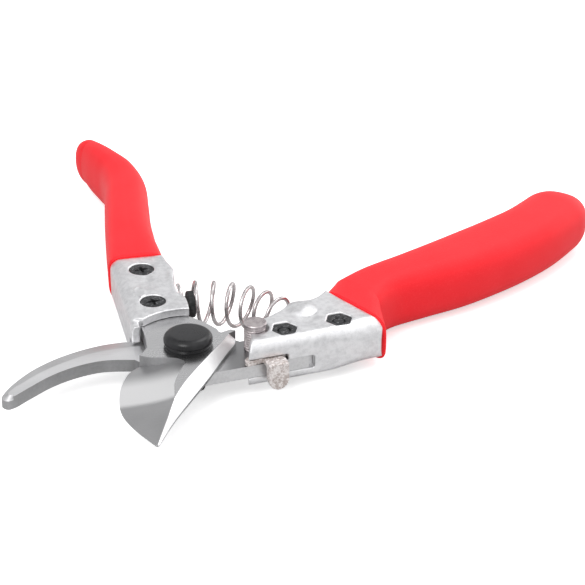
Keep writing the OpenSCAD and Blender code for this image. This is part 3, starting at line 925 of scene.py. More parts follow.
@dataclass
class HookCasting(Casting):
    """The hook lever's casting."""

    side_y: float = -12.6
    top_round: tuple[float, float] = (3.9, 6.5)
    foot_round: tuple[float, float] = (1.8, 5.5)
    mouth_x: float = 54.0
    mouth_reach: float = 16.0
    front_x: float = 17.0
    front_reach: float = 12.0
    lean: float = 0.2
    lean_from: float = 12.0
    dip_at: tuple[float, float] = (37.0, -3.4)
    dip_reach: tuple[float, float] = (6.0, 5.0)
    dip_depth: float = 0.3
    skin: float = 2.0
    window_end: tuple[float, float] = (33.5, 35.2)
    window_y: tuple[float, float] = (-14.0, -8.0)
    window_z: tuple[float, float] = (5.95, 10.05)

    def cutters(self) -> list[bpy.types.Object]:
        """The deep dark end of the side window."""
        near, far = self.window_end
        outside, inside = self.window_y
        end = np.array([[near, outside], [far, outside], [far, inside], [near, inside]])
        return [plate("window_end", end, *self.window_z)]

    def sculpt(self, points: np.ndarray) -> np.ndarray:
        """Outer edges that round off to the grip, a leaning front end and a hollow between the nuts."""
        x, y, z = points.T
        near = hump(np.maximum(self.mouth_x - x, 0), self.mouth_reach)
        low, high = CASTING_HEIGHTS
        radius = self.top_round[0] + (self.top_round[1] - self.top_round[0]) * near
        out = self.rounded(points, (self.side_y, high), radius)
        radius = self.foot_round[0] + (self.foot_round[1] - self.foot_round[0]) * near
        out = self.rounded(out, (self.side_y, low), radius)
        front = hump(np.maximum(x - self.front_x, 0), self.front_reach)
        out[:, 0] += self.lean * np.maximum(z - self.lean_from, 0) * front
        top = hump(np.abs(z - high), self.skin)
        out[:, 2] -= self.dip_depth * top * spot(x, y, self.dip_at, self.dip_reach)
        return out


# ---- Jaws -----------------------------------------------------------------------------------


@dataclass
class Bevel:
    """A ground surface that falls from an inner line to an outer one."""

    inner: np.ndarray
    outer: np.ndarray
    hollow: float = 0.0
    before: float = 0.0
    steps: int = 14
    reach: float = 2.0
    spare: np.ndarray | None = None

    def cutter(self, name: str, top: float) -> bpy.types.Object:
        """The solid that the grinding takes away.

        Args:
            name: the cutter's name.
            top: the height that it reaches up to.

        Returns:
            The cutter, without the part over the plan that it spares.
        """
        rings = []
        for a, b in zip(self.inner, self.outer):
            way = b - a
            flat = max(math.hypot(way[0], way[1]), 1.0)
            parts = np.linspace(-self.before, 1 + self.reach / flat, self.steps)
            line = a + way * parts[:, None]
            line[:, 2] -= self.hollow * np.clip(4 * parts * (1 - parts), 0, 1)
            ends = np.array([[line[-1][0], line[-1][1], top], [line[0][0], line[0][1], top]])
            rings.append(np.vstack([line, ends]))
        tool = loft(name, rings)
        if self.spare is not None:
            subtract(tool, [plate(name + "_spare", self.spare, -1.0, top + 1)])
        return tool


def subtract(piece: bpy.types.Object, cutters: Sequence[bpy.types.Object]) -> None:
    """Cuts the cutters out of the piece and removes them.

    Args:
        piece: what is cut.
        cutters: closed solids.
    """
    for cutter in cutters:
        cut = piece.modifiers.new(cutter.name, "BOOLEAN")
        cut.operation = "DIFFERENCE"
        cut.solver = "EXACT"
        cut.object = cutter
    applied(piece)
    for cutter in cutters:
        bpy.data.objects.remove(cutter)


def at_height(points: np.ndarray, z: object) -> np.ndarray:
    """Plan points with their heights, one for all or one each."""
    return np.column_stack([points, np.broadcast_to(z, len(points))])


# A finish, and a test of the normals and middles of the faces that wear it
Dressing = tuple[Finish, Callable[[Vector, Vector], bool]]


@dataclass
class Jaw:
    """The blade or the hook: a plate with its ground surfaces and holes cut."""

    name: str
    node: str
    body: Body
    finish: Finish
    angle: float

    def outline(self) -> np.ndarray:
        """The plate's plan."""
        raise NotImplementedError

    def bevels(self, low: float, high: float) -> list[Bevel]:
        """The ground surfaces, given the plate's heights."""
        raise NotImplementedError

    def holes(self) -> list[tuple[float, float, float]]:
        """Holes as x, y and radius."""
        raise NotImplementedError

    def build(self) -> bpy.types.Object:
        """The jaw, cut from its plate."""
        low, high = (corner.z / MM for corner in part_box(self.node))
        piece = plate(self.name, self.outline(), low, high)
        cutters = [b.cutter(f"{self.name}_cut_{i}", high + 1) for i, b in enumerate(self.bevels(low, high))]
        for x, y, r in self.holes():
            rings = [round_ring(r, z, 64) + np.array([x, y, 0.0]) for z in (low - 1, high + 1)]
            cutters.append(loft(f"{self.name}_hole_{len(cutters)}", rings))
        subtract(piece, cutters + self.nips(low, high))
        edge_split_shading(piece, 14)
        dress(piece, self.finish, self.body, Slot.BLADE_STEEL, self.node)
        for finish, chosen in self.faces():
            piece.data.materials.append(finish.material())
            for face in piece.data.polygons:
                if chosen(face.normal, face.center / MM):
                    face.material_index = len(piece.data.materials) - 1
        set_coords(piece, turned(coords(piece), self.angle))
        return piece

    def nips(self, low: float, high: float) -> list[bpy.types.Object]:
        """Further cutters, given the plate's heights."""
        return []

    def faces(self) -> list[Dressing]:
        """Finishes besides the main one."""
        raise NotImplementedError


@dataclass
class Blade(Jaw):
    """The cutting blade, hollow ground from its back to its edge."""

    edge_t: float = 0.25
    step: float = 0.08
    grind: float = 0.25
    tang: tuple[float, float, float] = (52.0, -0.6, 11.6)
    bolt_r: float = 3.04
    screw_r: float = 2.25
    screws: tuple[tuple[float, float], ...] = ((24.1, 6.4), (46.1, 6.4))
    steps: int = 12
    edge: tuple[Point, ...] = ((-3.2, 14.4), (-6.5, 18.4), (-10.5, 20.7), (-15.5, 22.6), (-21.5, 23.9),
                               (-27.5, 24.4), (-33, 23.7), (-39.5, 21.6), (-44.5, 19.4), (-48.4, 17.6))
    hub: tuple[Point, ...] = ((-2.6, 17), (-4, 14.8), (-5.4, 12.6), (-6.2, 10), (-6.8, 7.4),
                              (-8, 4.6), (-10.4, 2.8), (-13.6, 3.4))
    hollow: tuple[Point, ...] = ((2.5, -1.5), (-1.5, -0.4), (-5.5, 0.9), (-9.5, 2.4), (-13.2, 4.1),
                                 (-16.9, 5.9), (-22.2, 8), (-31.4, 9.8), (-39.5, 13.4), (-48, 17.3))
    hollow_height: tuple[float, ...] = (0.82, 0.86, 0.9, 0.94, 0.98, 1, 1, 1, 0.6, 0.12)
    back_low: tuple[Point, ...] = ((-48.6, 17.2), (-36.8, 10.6), (-24.6, 2.6), (-15.5, -3.4), (-4.9, -9.8),
                                   (1.6, -14), (5, -15.2))
    back_high: tuple[Point, ...] = ((-48, 17.3), (-39.5, 13.4), (-31.2, 9.9), (-20.7, 4.2), (-6.8, -5.6),
                                    (-1.1, -10), (3.4, -12.8))
    back_height: tuple[float, ...] = (0.12, 0.6, 1, 1, 1, 1, 1)
    spine_foot: tuple[float, ...] = (0.25, 0.5, 0.8, 0.9, 0.9, 0.9, 0.9)
    tip: tuple[Point, ...] = ((-47.9, 17.3), (-49.4, 18.8), (-50.6, 17.4), (-49.6, 16.4))
    tip_t: float = 0.45
    heel: tuple[Point, ...] = ((5.9, -14.2), (5.2, -12.2), (4.6, -10.8), (5.4, -10.2), (7.5, -9.7),
                               (12.1, -7), (16.4, -3.6), (17.6, -1.8), (18.2, -0.6))

    def outline(self) -> np.ndarray:
        """Edge, back, heel and tang."""
        far, inside, outside = self.tang
        return np.vstack([curve(self.edge, self.steps), curve(self.back_low, self.steps)[1:],
                          curve(self.heel[:3], 5)[1:], curve(self.heel[2:], 5)[1:],
                          [(far, inside), (far, outside), (6, 11.7), (0.5, 12.2)]])

    def heights(self, shares: Sequence[float], low: float, high: float) -> np.ndarray:
        """Heights along a line, from shares of the blade's thickness."""
        way = curve([(s, 0) for s in shares], self.steps)[:, 0]
        return low + (high - low) * np.minimum(way, 1.0)

    def bevels(self, low: float, high: float) -> list[Bevel]:
        """The hollow and the chamfered back."""
        inner = at_height(curve(self.hollow, self.steps), self.heights(self.hollow_height, low, high))
        outer = at_height(curve(self.edge, self.steps), low + self.edge_t)
        top = at_height(curve(self.back_high, self.steps), self.heights(self.back_height, low, high))
        foot = at_height(curve(self.back_low, self.steps), low + self.foot_height())
        inner[:, 2] -= self.step
        return [Bevel(inner, outer, self.grind, steps=18, spare=self.hub_plan()),
                Bevel(top, foot, before=0.15, steps=4)]

    def nips(self, low: float, high: float) -> list[bpy.types.Object]:
        """What stands up at the point, between the hollow and the chamfer."""
        return [plate("cutting_blade_point", np.array(self.tip), low + self.tip_t, high + 1)]

    def foot_height(self) -> np.ndarray:
        """How far the spine's chamfer stops above the lower face, from the tip to the heel."""
        return curve([(h, 0) for h in self.spine_foot], self.steps)[:, 0]

    def hub_plan(self) -> np.ndarray:
        """The part round the hub that the hollow grinding stops at."""
        return np.vstack([curve(self.hub, 8), [(-13.6, -6), (9, -6), (9, 17)]])

    def faces(self) -> list[Dressing]:
        """Rougher sides painted darker as painted shade, a near-white spine that is a painted highlight, and
        the hollow with its bright painted reflection.
        """
        return [(Finishes.BLADE_SIDE_SHADE, lambda n, at: abs(n.z) < 0.3),
                (Finishes.SPINE_HIGHLIGHT, lambda n, at: 0.3 < n.z < 0.95 and n.y < -0.2),
                (Finishes.HOLLOW, lambda n, at: 0.6 < n.z < 0.9997 and n.y > 0)]

    def holes(self) -> list[tuple[float, float, float]]:
        """The pivot's hole and two screw holes."""
        return [(0, 0, self.bolt_r)] + [(x, y, self.screw_r) for x, y in self.screws]


@dataclass
class Hook(Jaw):
    """The hooked counter blade, bevelled along its outer side and round its tip."""

    edge_drop: float = 1.2
    hub_r: float = 12.2
    rear_r: float = 15.4
    tang: tuple[float, float, float] = (33.4, 3.0, -12.2)
    tail: tuple[float, float, float] = (51.0, -0.6, -10.4)
    bolt_r: float = 3.03
    screw_r: float = 2.25
    screws: tuple[tuple[float, float], ...] = ((28.1, -5.4), (45.5, -5.4))
    stud: tuple[float, float, float] = (20.1, -2.0, 3.325)
    steps: int = 12
    outer: tuple[Point, ...] = ((-54, -5.6), (-55.6, -5.9), (-56.7, -4.9), (-56.9, -3), (-54, 1.2),
                                (-49.5, 5.7), (-43.7, 10.1), (-36.3, 13.8), (-28.6, 16.1), (-21.4, 17),
                                (-14.6, 16.4), (-8.6, 14.6))
    ridge: tuple[Point, ...] = ((-53.6, -4.6), (-54.5, -4.5), (-55, -4), (-54.8, -3), (-52.6, -0.8),
                                (-50, 0.9), (-42.8, 5.6), (-34.5, 9), (-27.3, 11), (-20.4, 11.4),
                                (-13.7, 10.8), (-8, 10.6))
    inner: tuple[Point, ...] = ((-15.6, 3), (-22.1, 5.2), (-27.3, 5.8), (-34.4, 4.7), (-41.5, 2),
                                (-48.5, -2.2), (-52.6, -4.9), (-54, -5.6))

    def outline(self) -> np.ndarray:
        """Outer curve, hub, tang with its narrow tail, and inner curve."""
        far, inside, outside = self.tang
        end, tail_in, tail_out = self.tail
        return np.vstack([curve(self.outer, self.steps), arc(self.rear_r, 106, 30, 24),
                          [(17, inside), (far, inside), (far, tail_in), (end, tail_in), (end, tail_out),
                           (far, tail_out), (far, outside)],
                          arc(self.hub_r, 270, 200, 20), curve(self.inner, self.steps)[:-1]])

    def bevels(self, low: float, high: float) -> list[Bevel]:
        """The outer bevel, which runs on round the tip."""
        inner = at_height(curve(self.ridge, self.steps), high)
        outer = at_height(curve(self.outer, self.steps), high - self.edge_drop)
        return [Bevel(inner, outer, before=0.1, steps=6)]

    def faces(self) -> list[Dressing]:
        """Rougher sides painted darker as painted shade, and a ground bevel whose finish also paints the
        tang's sides lighter as painted light.
        """
        return [(Finishes.HOOK_SIDE_SHADE, lambda n, at: abs(n.z) < 0.3 and at.x < 5),
                (Finishes.HOOK_BEVEL, lambda n, at: 0.3 < n.z < 0.99 or (abs(n.z) < 0.3 and at.x > 5))]

    def holes(self) -> list[tuple[float, float, float]]:
        """The holes for the bolt, the stud and two screws."""
        return [(0, 0, self.bolt_r), self.stud] + [(x, y, self.screw_r) for x, y in self.screws]


# ---- Turned parts and fasteners -------------------------------------------------------------


@dataclass(frozen=True)
class Thread:
    """A screw thread on a round shank."""

    low: float
    high: float
    radius: float
    pitch: float
    depth: float


@dataclass
class Turned:
    """A part turned on a lathe from a profile of (radius, height) corners."""

    name: str
    node: str
    body: Body
    slot: Slot
    finish: Finish
    profile: list[tuple[float, float]]
    hollow: bool = False
    sides: int = 96
    thread: Thread | None = None

    def build(self) -> bpy.types.Object:
        """The turned part, standing where its node is."""
        x, y, low, high = node_middle(self.node)
        rings = [round_ring(r, z, self.sides) for r, z in self.profile]
        if self.thread:
            rings = self.threaded(rings)
        rings = [r + np.array([x, y, 0.0]) for r in rings]
        piece = loft(self.name, rings, self.hollow)
        edge_split_shading(piece, 32)
        return dress(piece, self.finish, self.body, self.slot, self.node)

    def threaded(self, rings: list[np.ndarray]) -> list[np.ndarray]:
        """Rings with a thread cut between two heights.

        Args:
            rings: the plain rings, in order of height along the shank.

        Returns:
            The rings with the shank's straight part replaced by threaded ones.
        """
        cut = self.thread
        heights = np.arange(cut.low, cut.high, cut.pitch / 8)
        made = [thread_ring(cut.radius, z, cut.pitch, cut.depth, self.sides) for z in heights]
        below = [r for r in rings if r[0][2] <= cut.low]
        above = [r for r in rings if r[0][2] >= cut.high]
        return below + made + above


def thread_ring(radius: float, z: float, pitch: float, depth: float, sides: int) -> np.ndarray:
    """One ring of a screw thread at height z."""
    ring = round_ring(radius, z, sides)
    turn = np.arange(sides) / sides
    phase = (z / pitch - turn) % 1.0
    cut = depth * (1 - np.abs(2 * phase - 1)) ** 0.8
    ring[:, :2] *= ((radius - cut) / radius)[:, None]
    return ring


@dataclass
class Screw:
    """A cross-recessed screw of a casting, with its head up or down."""

    node: str
    body: Body
    up: bool
    head_r: float = 3.7
    head_h: float = 2.0
    shank_r: float = 2.0
    recess_depth: float = 1.3
    arm: float = 2.2
    sides: int = 120
    pitch: float = 0.7
    thread_depth: float = 0.2
    thread_l: float = 4.2

    def head_ring(self, radius: float) -> np.ndarray:
        """A ring of the head's top, with the cross recess pressed into it."""
        ring = round_ring(radius, 0.0, self.sides)
        dome = 0.25 * (radius / self.head_r) ** 2
        across = np.minimum(np.abs(ring[:, 0]), np.abs(ring[:, 1]))
        along = np.maximum(np.abs(ring[:, 0]), np.abs(ring[:, 1]))
        width = 0.62 - 0.12 * along
        inside = np.clip((width - across) / 0.16, 0, 1) * np.clip((self.arm - along) / 0.5, 0, 1)
        ring[:, 2] = -dome - self.recess_depth * inside * (1 - 0.25 * along / self.arm)
        return ring

    def build(self) -> bpy.types.Object:
        """The screw in its casting."""
        x, y, low, high = node_middle(self.node)
        length = high - low
        rings = [self.head_ring(r) for r in np.linspace(0.04, self.head_r - 0.25, 30)]
        rings.append(round_ring(self.head_r - 0.05, -0.35, self.sides))
        rings.append(round_ring(self.head_r, -0.55, self.sides))
        rings.append(round_ring(self.head_r, -self.head_h, self.sides))
        rings.append(round_ring(self.shank_r, -self.head_h, self.sides))
        thread_top = -length + self.thread_l
        rings += [thread_ring(self.shank_r, z, self.pitch, self.thread_depth, self.sides)
                  for z in np.arange(thread_top, -length + 0.4, -self.pitch / 8)]
        rings.append(round_ring(self.shank_r - 0.25, -length + 0.3, self.sides))
        rings.append(round_ring(self.shank_r - 0.55, -length, self.sides))
        rings.append(round_ring(AXIS_R, -length, self.sides))
        flip = 1.0 if self.up else -1.0
        top = high if self.up else low
        way = np.array([1.0, flip, flip])
        placed = [r * way + np.array([x, y, top]) for r in rings]
        piece = loft(self.node + "_turned", placed)
        edge_split_shading(piece, 40)
        return dress(piece, Finishes.DARK, self.body, Slot.DARK_STEEL, self.node)


@dataclass
class Nut:
    """A hexagon nut with chamfered corners and a threaded bore."""

    node: str
    body: Body
    across: float
    bore: float
    sides: int = 96
    chamfer: float = 0.35
    corner_slope: float = 0.577
    pitch: float = 0.7
    thread_depth: float = 0.2

    def hexagon(self, z: float, limit: float, turn: float) -> np.ndarray:
        """The outline at a height, cut to a circle of the limit's radius."""
        angle = np.arange(self.sides) * 2 * math.pi / self.sides
        within = (angle - turn) % (math.pi / 3) - math.pi / 6
        radius = np.minimum(self.across / 2 / np.cos(within), limit)
        return np.stack([radius * np.cos(angle), radius * np.sin(angle), np.full(self.sides, z)], 1)

    def build(self) -> bpy.types.Object:
        """The nut where its node is, with its corners where the node has them."""
        x, y, low, high = node_middle(self.node)
        flat = baked(self.node)
        far = max(flat.vertices, key=lambda v: math.hypot(v.co.x / MM - x, v.co.y / MM - y))
        turn = math.atan2(far.co.y / MM - y, far.co.x / MM - x)
        tip = self.across / 2 / math.cos(math.pi / 6)
        face = self.across / 2 - 0.1
        rings = [round_ring(self.bore, low + self.chamfer, self.sides)]
        rings += [thread_ring(self.bore + 0.1, z, self.pitch, self.thread_depth, self.sides)
                  for z in np.arange(low + self.chamfer + 0.1, high - self.chamfer - 0.1, 0.1)]
        rings += [round_ring(self.bore, high - self.chamfer, self.sides),
                  round_ring(self.bore + self.chamfer, high, self.sides),
                  round_ring(face, high, self.sides)]
        for t in (0.33, 0.66, 1.0):
            limit = face + (tip - face) * t
            rings.append(self.hexagon(high - (limit - face) * self.corner_slope, limit, turn))
        for t in (1.0, 0.66, 0.33):
            limit = face + (tip - face) * t
            rings.append(self.hexagon(low + (limit - face) * self.corner_slope, limit, turn))
        rings += [round_ring(face, low, self.sides), round_ring(self.bore + self.chamfer, low, self.sides)]
        placed = [r + np.array([x, y, 0.0]) for r in rings]
        piece = loft(self.node + "_cut", placed, True)
        edge_split_shading(piece, 24)
        return dress(piece, Finishes.DARK, self.body, Slot.DARK_STEEL, self.node)


# ---- Spring, latch and buffer ---------------------------------------------------------------


@dataclass
class ReturnSpring:
    """The coil between the handles, curved round the pivot."""

    start: float = 78.0
    end: float = 15.6
    radius: float = 33.0
    drift: float = 3.0
    turns: float = 6.8
    phase: float = 80.0
    coil: float = 6.5
    coil_end: float = 5.8
    widest: float = 0.55
    swell_rate: float = 4.0
    wire: float = 1.2
    sides: int = 14
    steps: int = 56

    def coil_radius(self, t: float) -> float:
        """The coil's mean radius along the spring, t from 0 to 1."""
        if t < self.widest:
            part = min(1.0, self.widest + t * self.swell_rate)
        else:
            part = 1 - (t - self.widest) / (1 - self.widest)
        return self.coil_end + (self.coil - self.coil_end) * part

    def angle(self, t: float) -> float:
        """The angle about the pivot, in radians."""
        return math.radians(self.start + (self.end - self.start) * t)

    def wire_at(self, t: float) -> np.ndarray:
        """A point on the wire's centre line."""
        a, w = self.angle(t), math.radians(self.phase) + 2 * math.pi * self.turns * t
        r = self.radius + self.drift * t + self.coil_radius(t) * math.cos(w)
        return np.array([r * math.cos(a), r * math.sin(a), LEVEL + self.coil_radius(t) * math.sin(w)])

    def ring(self, t: float, thick: float = 1.0) -> np.ndarray:
        """The wire's cross-section at t."""
        way = self.wire_at(t + 0.0005) - self.wire_at(t - 0.0005)
        way /= np.linalg.norm(way)
        a = self.angle(t)
        side = np.cross(way, np.array([-math.sin(a), math.cos(a), 0.0]))
        side /= np.linalg.norm(side)
        other = np.cross(way, side)
        turn = np.arange(self.sides) * 2 * math.pi / self.sides
        reach = self.wire / 2 * thick
        return (self.wire_at(t) + reach * np.cos(turn)[:, None] * side
                + reach * np.sin(turn)[:, None] * other)

    def on_arc(self, t: float) -> tuple[float, float, float]:
        """The middle of the coil at t, in metres."""
        a = self.angle(t)
        return (self.radius * math.cos(a) * MM, self.radius * math.sin(a) * MM, LEVEL * MM)

    def build(self) -> bpy.types.Object:
        """The spring, curved between the two levers."""
        count = int(self.turns * self.steps)
        rings = [self.ring(0.0, 0.8)] + [self.ring(max(i / count, 0.0004)) for i in range(count)]
        rings += [self.ring(0.9996), self.ring(1.0, 0.8)]
        piece = loft("return_spring_coil", rings)
        edge_split_shading(piece, 50)
        piece.data.materials.append(Finishes.WIRE.material())
        self.on_arc(1.0)
        self.on_arc(0.0)
        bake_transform(piece)
        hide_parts("return_spring")
        log.info("return_spring_coil: %d points", len(piece.data.vertices))
        return piece


@dataclass
class Latch:
    """The thumb latch: a pressed arm with a rough block and a tongue."""

    voxel: float = 0.14
    rounds: int = 4
    depth: float = 0.36
    waves: int = 24
    wave_rate: float = 2.6
    tongue_y: float = -12.4
    tongue_fade: float = 0.8
    seed: int = 7

    def build(self) -> bpy.types.Object:
        """The latch with softened edges and a pitted tongue."""
        piece = made_object("thumb_latch", baked("latch"))
        soften(piece, self.voxel, self.rounds)
        points = coords(piece)
        random = np.random.default_rng(self.seed)
        waves = random.normal(size=(self.waves, 3)) * self.wave_rate
        starts = random.uniform(0, 2 * math.pi, self.waves)
        ripple = np.sin(points @ waves.T + starts).mean(1)
        normals = np.zeros(len(points) * 3, np.float32)
        piece.data.vertices.foreach_get("normal", normals)
        tongue = np.clip((self.tongue_y - points[:, 1]) / self.tongue_fade, 0, 1)
        points += normals.reshape(-1, 3) * (ripple * tongue * self.depth)[:, None]
        set_coords(piece, points)
        return dress(piece, Finishes.ZINC, Body.LATCH, Slot.LATCH_ALLOY, "latch")


@dataclass
class Buffer:
    """The rubber buffer inside the spring, lying on its side."""

    x: float = 32.0
    tip: float = -7.6
    root: float = -1.2
    head_r: float = 4.2
    head_t: float = 2.2
    neck_r: float = 2.7
    sides: int = 72

    def build(self) -> bpy.types.Object:
        """The buffer, pushed into the blade handle's casting."""
        corner = 0.5
        profile = [(AXIS_R, 0.15), (1.6, 0.0), (self.head_r - corner, 0.0)]
        profile += [(self.head_r - corner + corner * math.sin(a), corner - corner * math.cos(a))
                    for a in np.linspace(0.3, math.pi / 2, 5)]
        profile += [(self.head_r, self.head_t - 0.3), (self.head_r - 0.3, self.head_t),
                    (self.neck_r + 0.3, self.head_t), (self.neck_r, self.head_t + 0.4),
                    (self.neck_r, self.root - self.tip), (AXIS_R, self.root - self.tip)]
        rings = []
        for r, along in profile:
            ring = round_ring(r, 0.0, self.sides)
            rings.append(np.stack([self.x + ring[:, 0], np.full(self.sides, self.tip + along),
                                   LEVEL + ring[:, 1]], 1))
        piece = loft("buffer_of_spring", [turned(r, OPEN_ANGLE) for r in rings])
        edge_split_shading(piece, 40)
        return dress(piece, Finishes.RUBBER, Body.BLADE, Slot.BUFFER_RUBBER, "spring_buffer")


# ---- Pivot ----------------------------------------------------------------------------------


@dataclass
class Pivot:
    """The bolt, its cap, and the washer and nut under the hook."""

    bolt_r: float = 3.0
    head_r: float = 6.2
    cap_r: float = 7.3
    cap_round: float = 2.1
    shoulder: float = 2.4
    foot_r: float = 6.75
    groove: float = 0.22
    crown: float = 0.06
    cap_t: float = 1.2
    head_h: float = 2.6
    fit: float = 0.025
    washer_r: float = 7.5
    washer_edge: float = 0.2
    nut_across: float = 10.0
    pitch: float = 1.0
    thread_depth: float = 0.3

    def cap(self) -> Turned:
        """The black cap: a round shoulder over a lip, and a narrower foot."""
        _, _, low, high = node_middle("pivot_cap")
        inner = self.head_r + self.fit
        profile = [(inner, low), (inner, high - self.cap_t), (AXIS_R, high - self.cap_t)]
        flat = self.cap_r - self.shoulder
        skin = [(AXIS_R, high), (flat * 0.6, high - 0.02)]
        skin += [(flat + self.shoulder * math.sin(a),
                  high - self.crown - self.cap_round * (1 - math.cos(a)))
                 for a in np.linspace(0.0, math.pi / 2, 14)]
        lip = high - self.crown - self.cap_round
        skin += [(self.cap_r - self.groove, lip - 0.12), (self.cap_r - self.groove, lip - 0.3),
                 (self.cap_r - 0.04, lip - 0.42), (self.cap_r - 0.04, lip - 0.6),
                 (self.foot_r + 0.1, lip - 0.85), (self.foot_r, low)]
        return Turned("cap_of_pivot", "pivot_cap", Body.HOOK, Slot.CAP_PLASTIC, Finishes.CAP,
                      skin + profile)

    def bolt(self) -> Turned:
        """The bolt, threaded where the nut sits."""
        _, _, low, high = node_middle("pivot_bolt")
        under = high - self.head_h
        profile = [(AXIS_R, low), (self.bolt_r - 0.5, low), (self.bolt_r, low + 0.5),
                   (self.bolt_r, low + 4.5), (self.bolt_r, under), (self.head_r - 0.2, under),
                   (self.head_r, under + 0.2), (self.head_r, high - 0.3), (self.head_r - 0.3, high),
                   (AXIS_R, high)]
        return Turned("bolt_of_pivot", "pivot_bolt", Body.HOOK, Slot.DARK_STEEL, Finishes.DARK,
                      profile, thread=Thread(low + 0.5, low + 4.4, self.bolt_r, self.pitch,
                                             self.thread_depth))

    def washer(self) -> Turned:
        """The plated washer."""
        _, _, low, high = node_middle("pivot_washer")
        bore, rim, edge = self.bolt_r + self.fit, self.washer_r, self.washer_edge
        profile = [(bore, low), (bore, high), (rim - edge, high), (rim, high - edge),
                   (rim, low + edge), (rim - edge, low)]
        return Turned("washer_of_pivot", "pivot_washer", Body.HOOK, Slot.PLATED_STEEL,
                      Finishes.WASHER, profile, hollow=True)

    def build(self) -> None:
        """All four pieces."""
        self.cap().build()
        self.bolt().build()
        self.washer().build()
        Nut("pivot_nut", Body.HOOK, self.nut_across, self.bolt_r + self.fit).build()


@dataclass
class StopStud:
    """The stud that stops the blade lever, threaded low down."""

    radius: float = 3.3
    head_r: float = 3.5
    head_h: float = 0.7
    thread_z: float = 9.8
    pitch: float = 0.8
    thread_depth: float = 0.28

    def build(self) -> bpy.types.Object:
        """The stud."""
        _, _, low, high = node_middle("stop_stud")
        head = high - self.head_h
        profile = [(AXIS_R, low), (self.radius - 0.4, low), (self.radius, low + 0.4),
                   (self.radius, self.thread_z - 0.2), (self.radius, head - 0.9), (self.radius, head),
                   (self.head_r - 0.1, head), (self.head_r, head + 0.15), (self.head_r, high - 0.2),
                   (self.head_r - 0.2, high), (AXIS_R, high)]
        made = Turned("stud_of_stop", "stop_stud", Body.HOOK, Slot.PLATED_STEEL, Finishes.PLATED,
                      profile, thread=Thread(self.thread_z, head - 1.0, self.radius, self.pitch,
                                             self.thread_depth))
        return made.build()


# ---- Studio ---------------------------------------------------------------------------------


@dataclass
class Lamp:
    """One soft box, aimed at the pruner."""

    place: tuple[float, float, float]
    size: float
    power: float


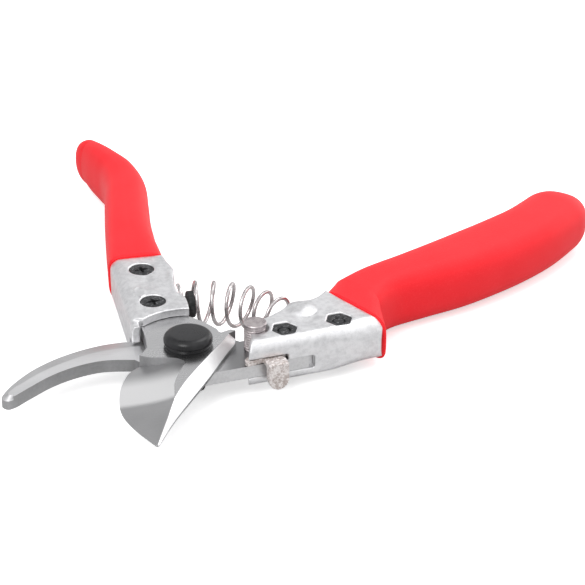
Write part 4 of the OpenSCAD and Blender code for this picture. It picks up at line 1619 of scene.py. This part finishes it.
@dataclass
class Studio:
    """The table, the lights and the camera."""

    eye: tuple[float, float, float] = (-147.5, -495.1, 299.5)
    look: float = 70.0
    pitch: float = 27.5
    lens: float = 123.08
    target: tuple[float, float, float] = (30.0, 20.0, 10.0)
    lamps: list[Lamp] = field(default_factory=lambda: [
        Lamp((-400.0, -350.0, 700.0), 450.0, 2.2), Lamp((450.0, 250.0, 650.0), 450.0, 1.2)])
    tent: tuple[tuple[float, float], ...] = ((0.0, 0.5), (0.1, 0.55), (0.125, 1.05), (0.17, 1.0),
                                             (0.21, 0.42), (0.36, 0.6), (0.46, 1.2), (0.62, 1.15),
                                             (0.75, 0.8), (1.0, 0.6))
    panel: tuple[float, float, float] = (0.94, 0.33, 0.08)
    panel_level: float = 1.9
    sky_strength: float = 0.95

    def camera(self) -> None:
        """The camera, level from side to side."""
        data = bpy.data.cameras.new("eye")
        data.lens = self.lens
        data.sensor_width = 36.0
        data.clip_start = 0.02
        data.clip_end = 20.0
        eye = bpy.data.objects.new("eye", data)
        eye.location = Vector(self.eye) * MM
        heading = math.radians(self.look - 90.0)
        eye.rotation_euler = (math.radians(90.0 - self.pitch), 0.0, heading)
        bpy.context.scene.collection.objects.link(eye)
        bpy.context.scene.camera = eye

    def lights(self) -> None:
        """Soft boxes and an even sky."""
        for i, lamp in enumerate(self.lamps):
            data = bpy.data.lights.new(f"softbox_{i}", "AREA")
            data.shape = "DISK"
            data.size = lamp.size * MM
            data.energy = lamp.power
            box = bpy.data.objects.new(f"softbox_{i}", data)
            box.location = Vector(lamp.place) * MM
            box.rotation_mode = "QUATERNION"
            box.rotation_quaternion = (Vector(self.target) * MM - box.location).to_track_quat("-Z", "Y")
            bpy.context.scene.collection.objects.link(box)
        world = bpy.data.worlds.new("studio")
        world.use_nodes = True
        bpy.context.scene.world = world
        self.sky(Graph(world.node_tree))

    def sky(self, graph: Graph) -> None:
        """A studio tent by direction: panels behind, overhead and to the right, greyer between.

        Args:
            graph: the world's empty tree.
        """
        way = graph.node("ShaderNodeTexCoord").outputs["Generated"]
        parts = graph.node("ShaderNodeSeparateXYZ", {}, {0: way})
        x, y, z = (Value(graph, out) for out in parts.outputs)
        look = math.radians(self.look)
        depth = x * math.cos(look) + y * math.sin(look)
        arch = graph.node("ShaderNodeMath", {"operation": "ARCTAN2"}, {0: z, 1: depth})
        share = Value(graph, arch.outputs[0]) * (1 / math.pi)
        ramp = graph.node("ShaderNodeValToRGB", {"stops": [
            (place, (level, level, level * 1.01)) for place, level in self.tent]}, {0: share})
        panel = self.panel
        side = x * panel[0] + y * panel[1] + z * panel[2]
        lit = graph.mix(graph.span(side, 0.84, 0.95), ramp.outputs[0], (self.panel_level,) * 3)
        back = graph.node("ShaderNodeBackground", {}, {"Color": lit, "Strength": self.sky_strength})
        graph.node("ShaderNodeOutputWorld", {}, {"Surface": back.outputs[0]})

    def table(self) -> None:
        """A wide level sheet under the pruner."""
        mesh = bpy.data.meshes.new("table")
        half = 4.0
        mesh.from_pydata([(-half, -half, 0), (half, -half, 0), (half, half, 0), (-half, half, 0)], [],
                         [(0, 1, 2, 3)])
        table = bpy.data.objects.new("table", mesh)
        table.location.z = -0.0002
        bpy.context.scene.collection.objects.link(table)
        mesh.materials.append(Finishes.TABLE.material())

    def build(self) -> None:
        """Everything round the pruner, with plain colour handling."""
        self.camera()
        self.lights()
        self.table()
        bpy.context.scene.view_settings.view_transform = "Standard"


# ---- Putting it together --------------------------------------------------------------------


class Pruner:
    """The whole pruner, lever by lever."""

    def build(self) -> None:
        """Every piece in order."""
        self.hook_lever()
        self.blade_lever()
        Latch().build()

    def hook_lever(self) -> None:
        """The hook, its casting, its grip and the pivot."""
        Hook("hooked_jaw", "hook", Body.HOOK, Finishes.HOOK, 0.0).build()
        HookCasting("casting_of_hook", "hook_handle", Body.HOOK, 0.0, (52.9, 0.9, 20.0)).build()
        hook_grip().build()
        for end in ("front", "rear"):
            Screw("hook_screw_" + end, Body.HOOK, False).build()
            Nut("hook_nut_" + end, Body.HOOK, M4_ACROSS, M4_BORE).build()
        StopStud().build()
        Pivot().build()
        ReturnSpring().build()

    def blade_lever(self) -> None:
        """The blade, its casting, its grip and the buffer."""
        Blade("cutting_blade", "blade", Body.BLADE, Finishes.BLADE, OPEN_ANGLE).build()
        BladeCasting("casting_of_blade", "blade_handle", Body.BLADE, OPEN_ANGLE, (54.6, 6.7, 0.0)).build()
        blade_grip().build()
        for end in ("front", "rear"):
            Screw("blade_screw_" + end, Body.BLADE, True).build()
            Nut("blade_nut_" + end, Body.BLADE, M4_ACROSS, M4_BORE).build()
        Buffer().build()


def main() -> None:
    """Builds the pruner and the studio."""
    Pruner().build()
    Studio().build()


if __name__ == "__main__":
    main()
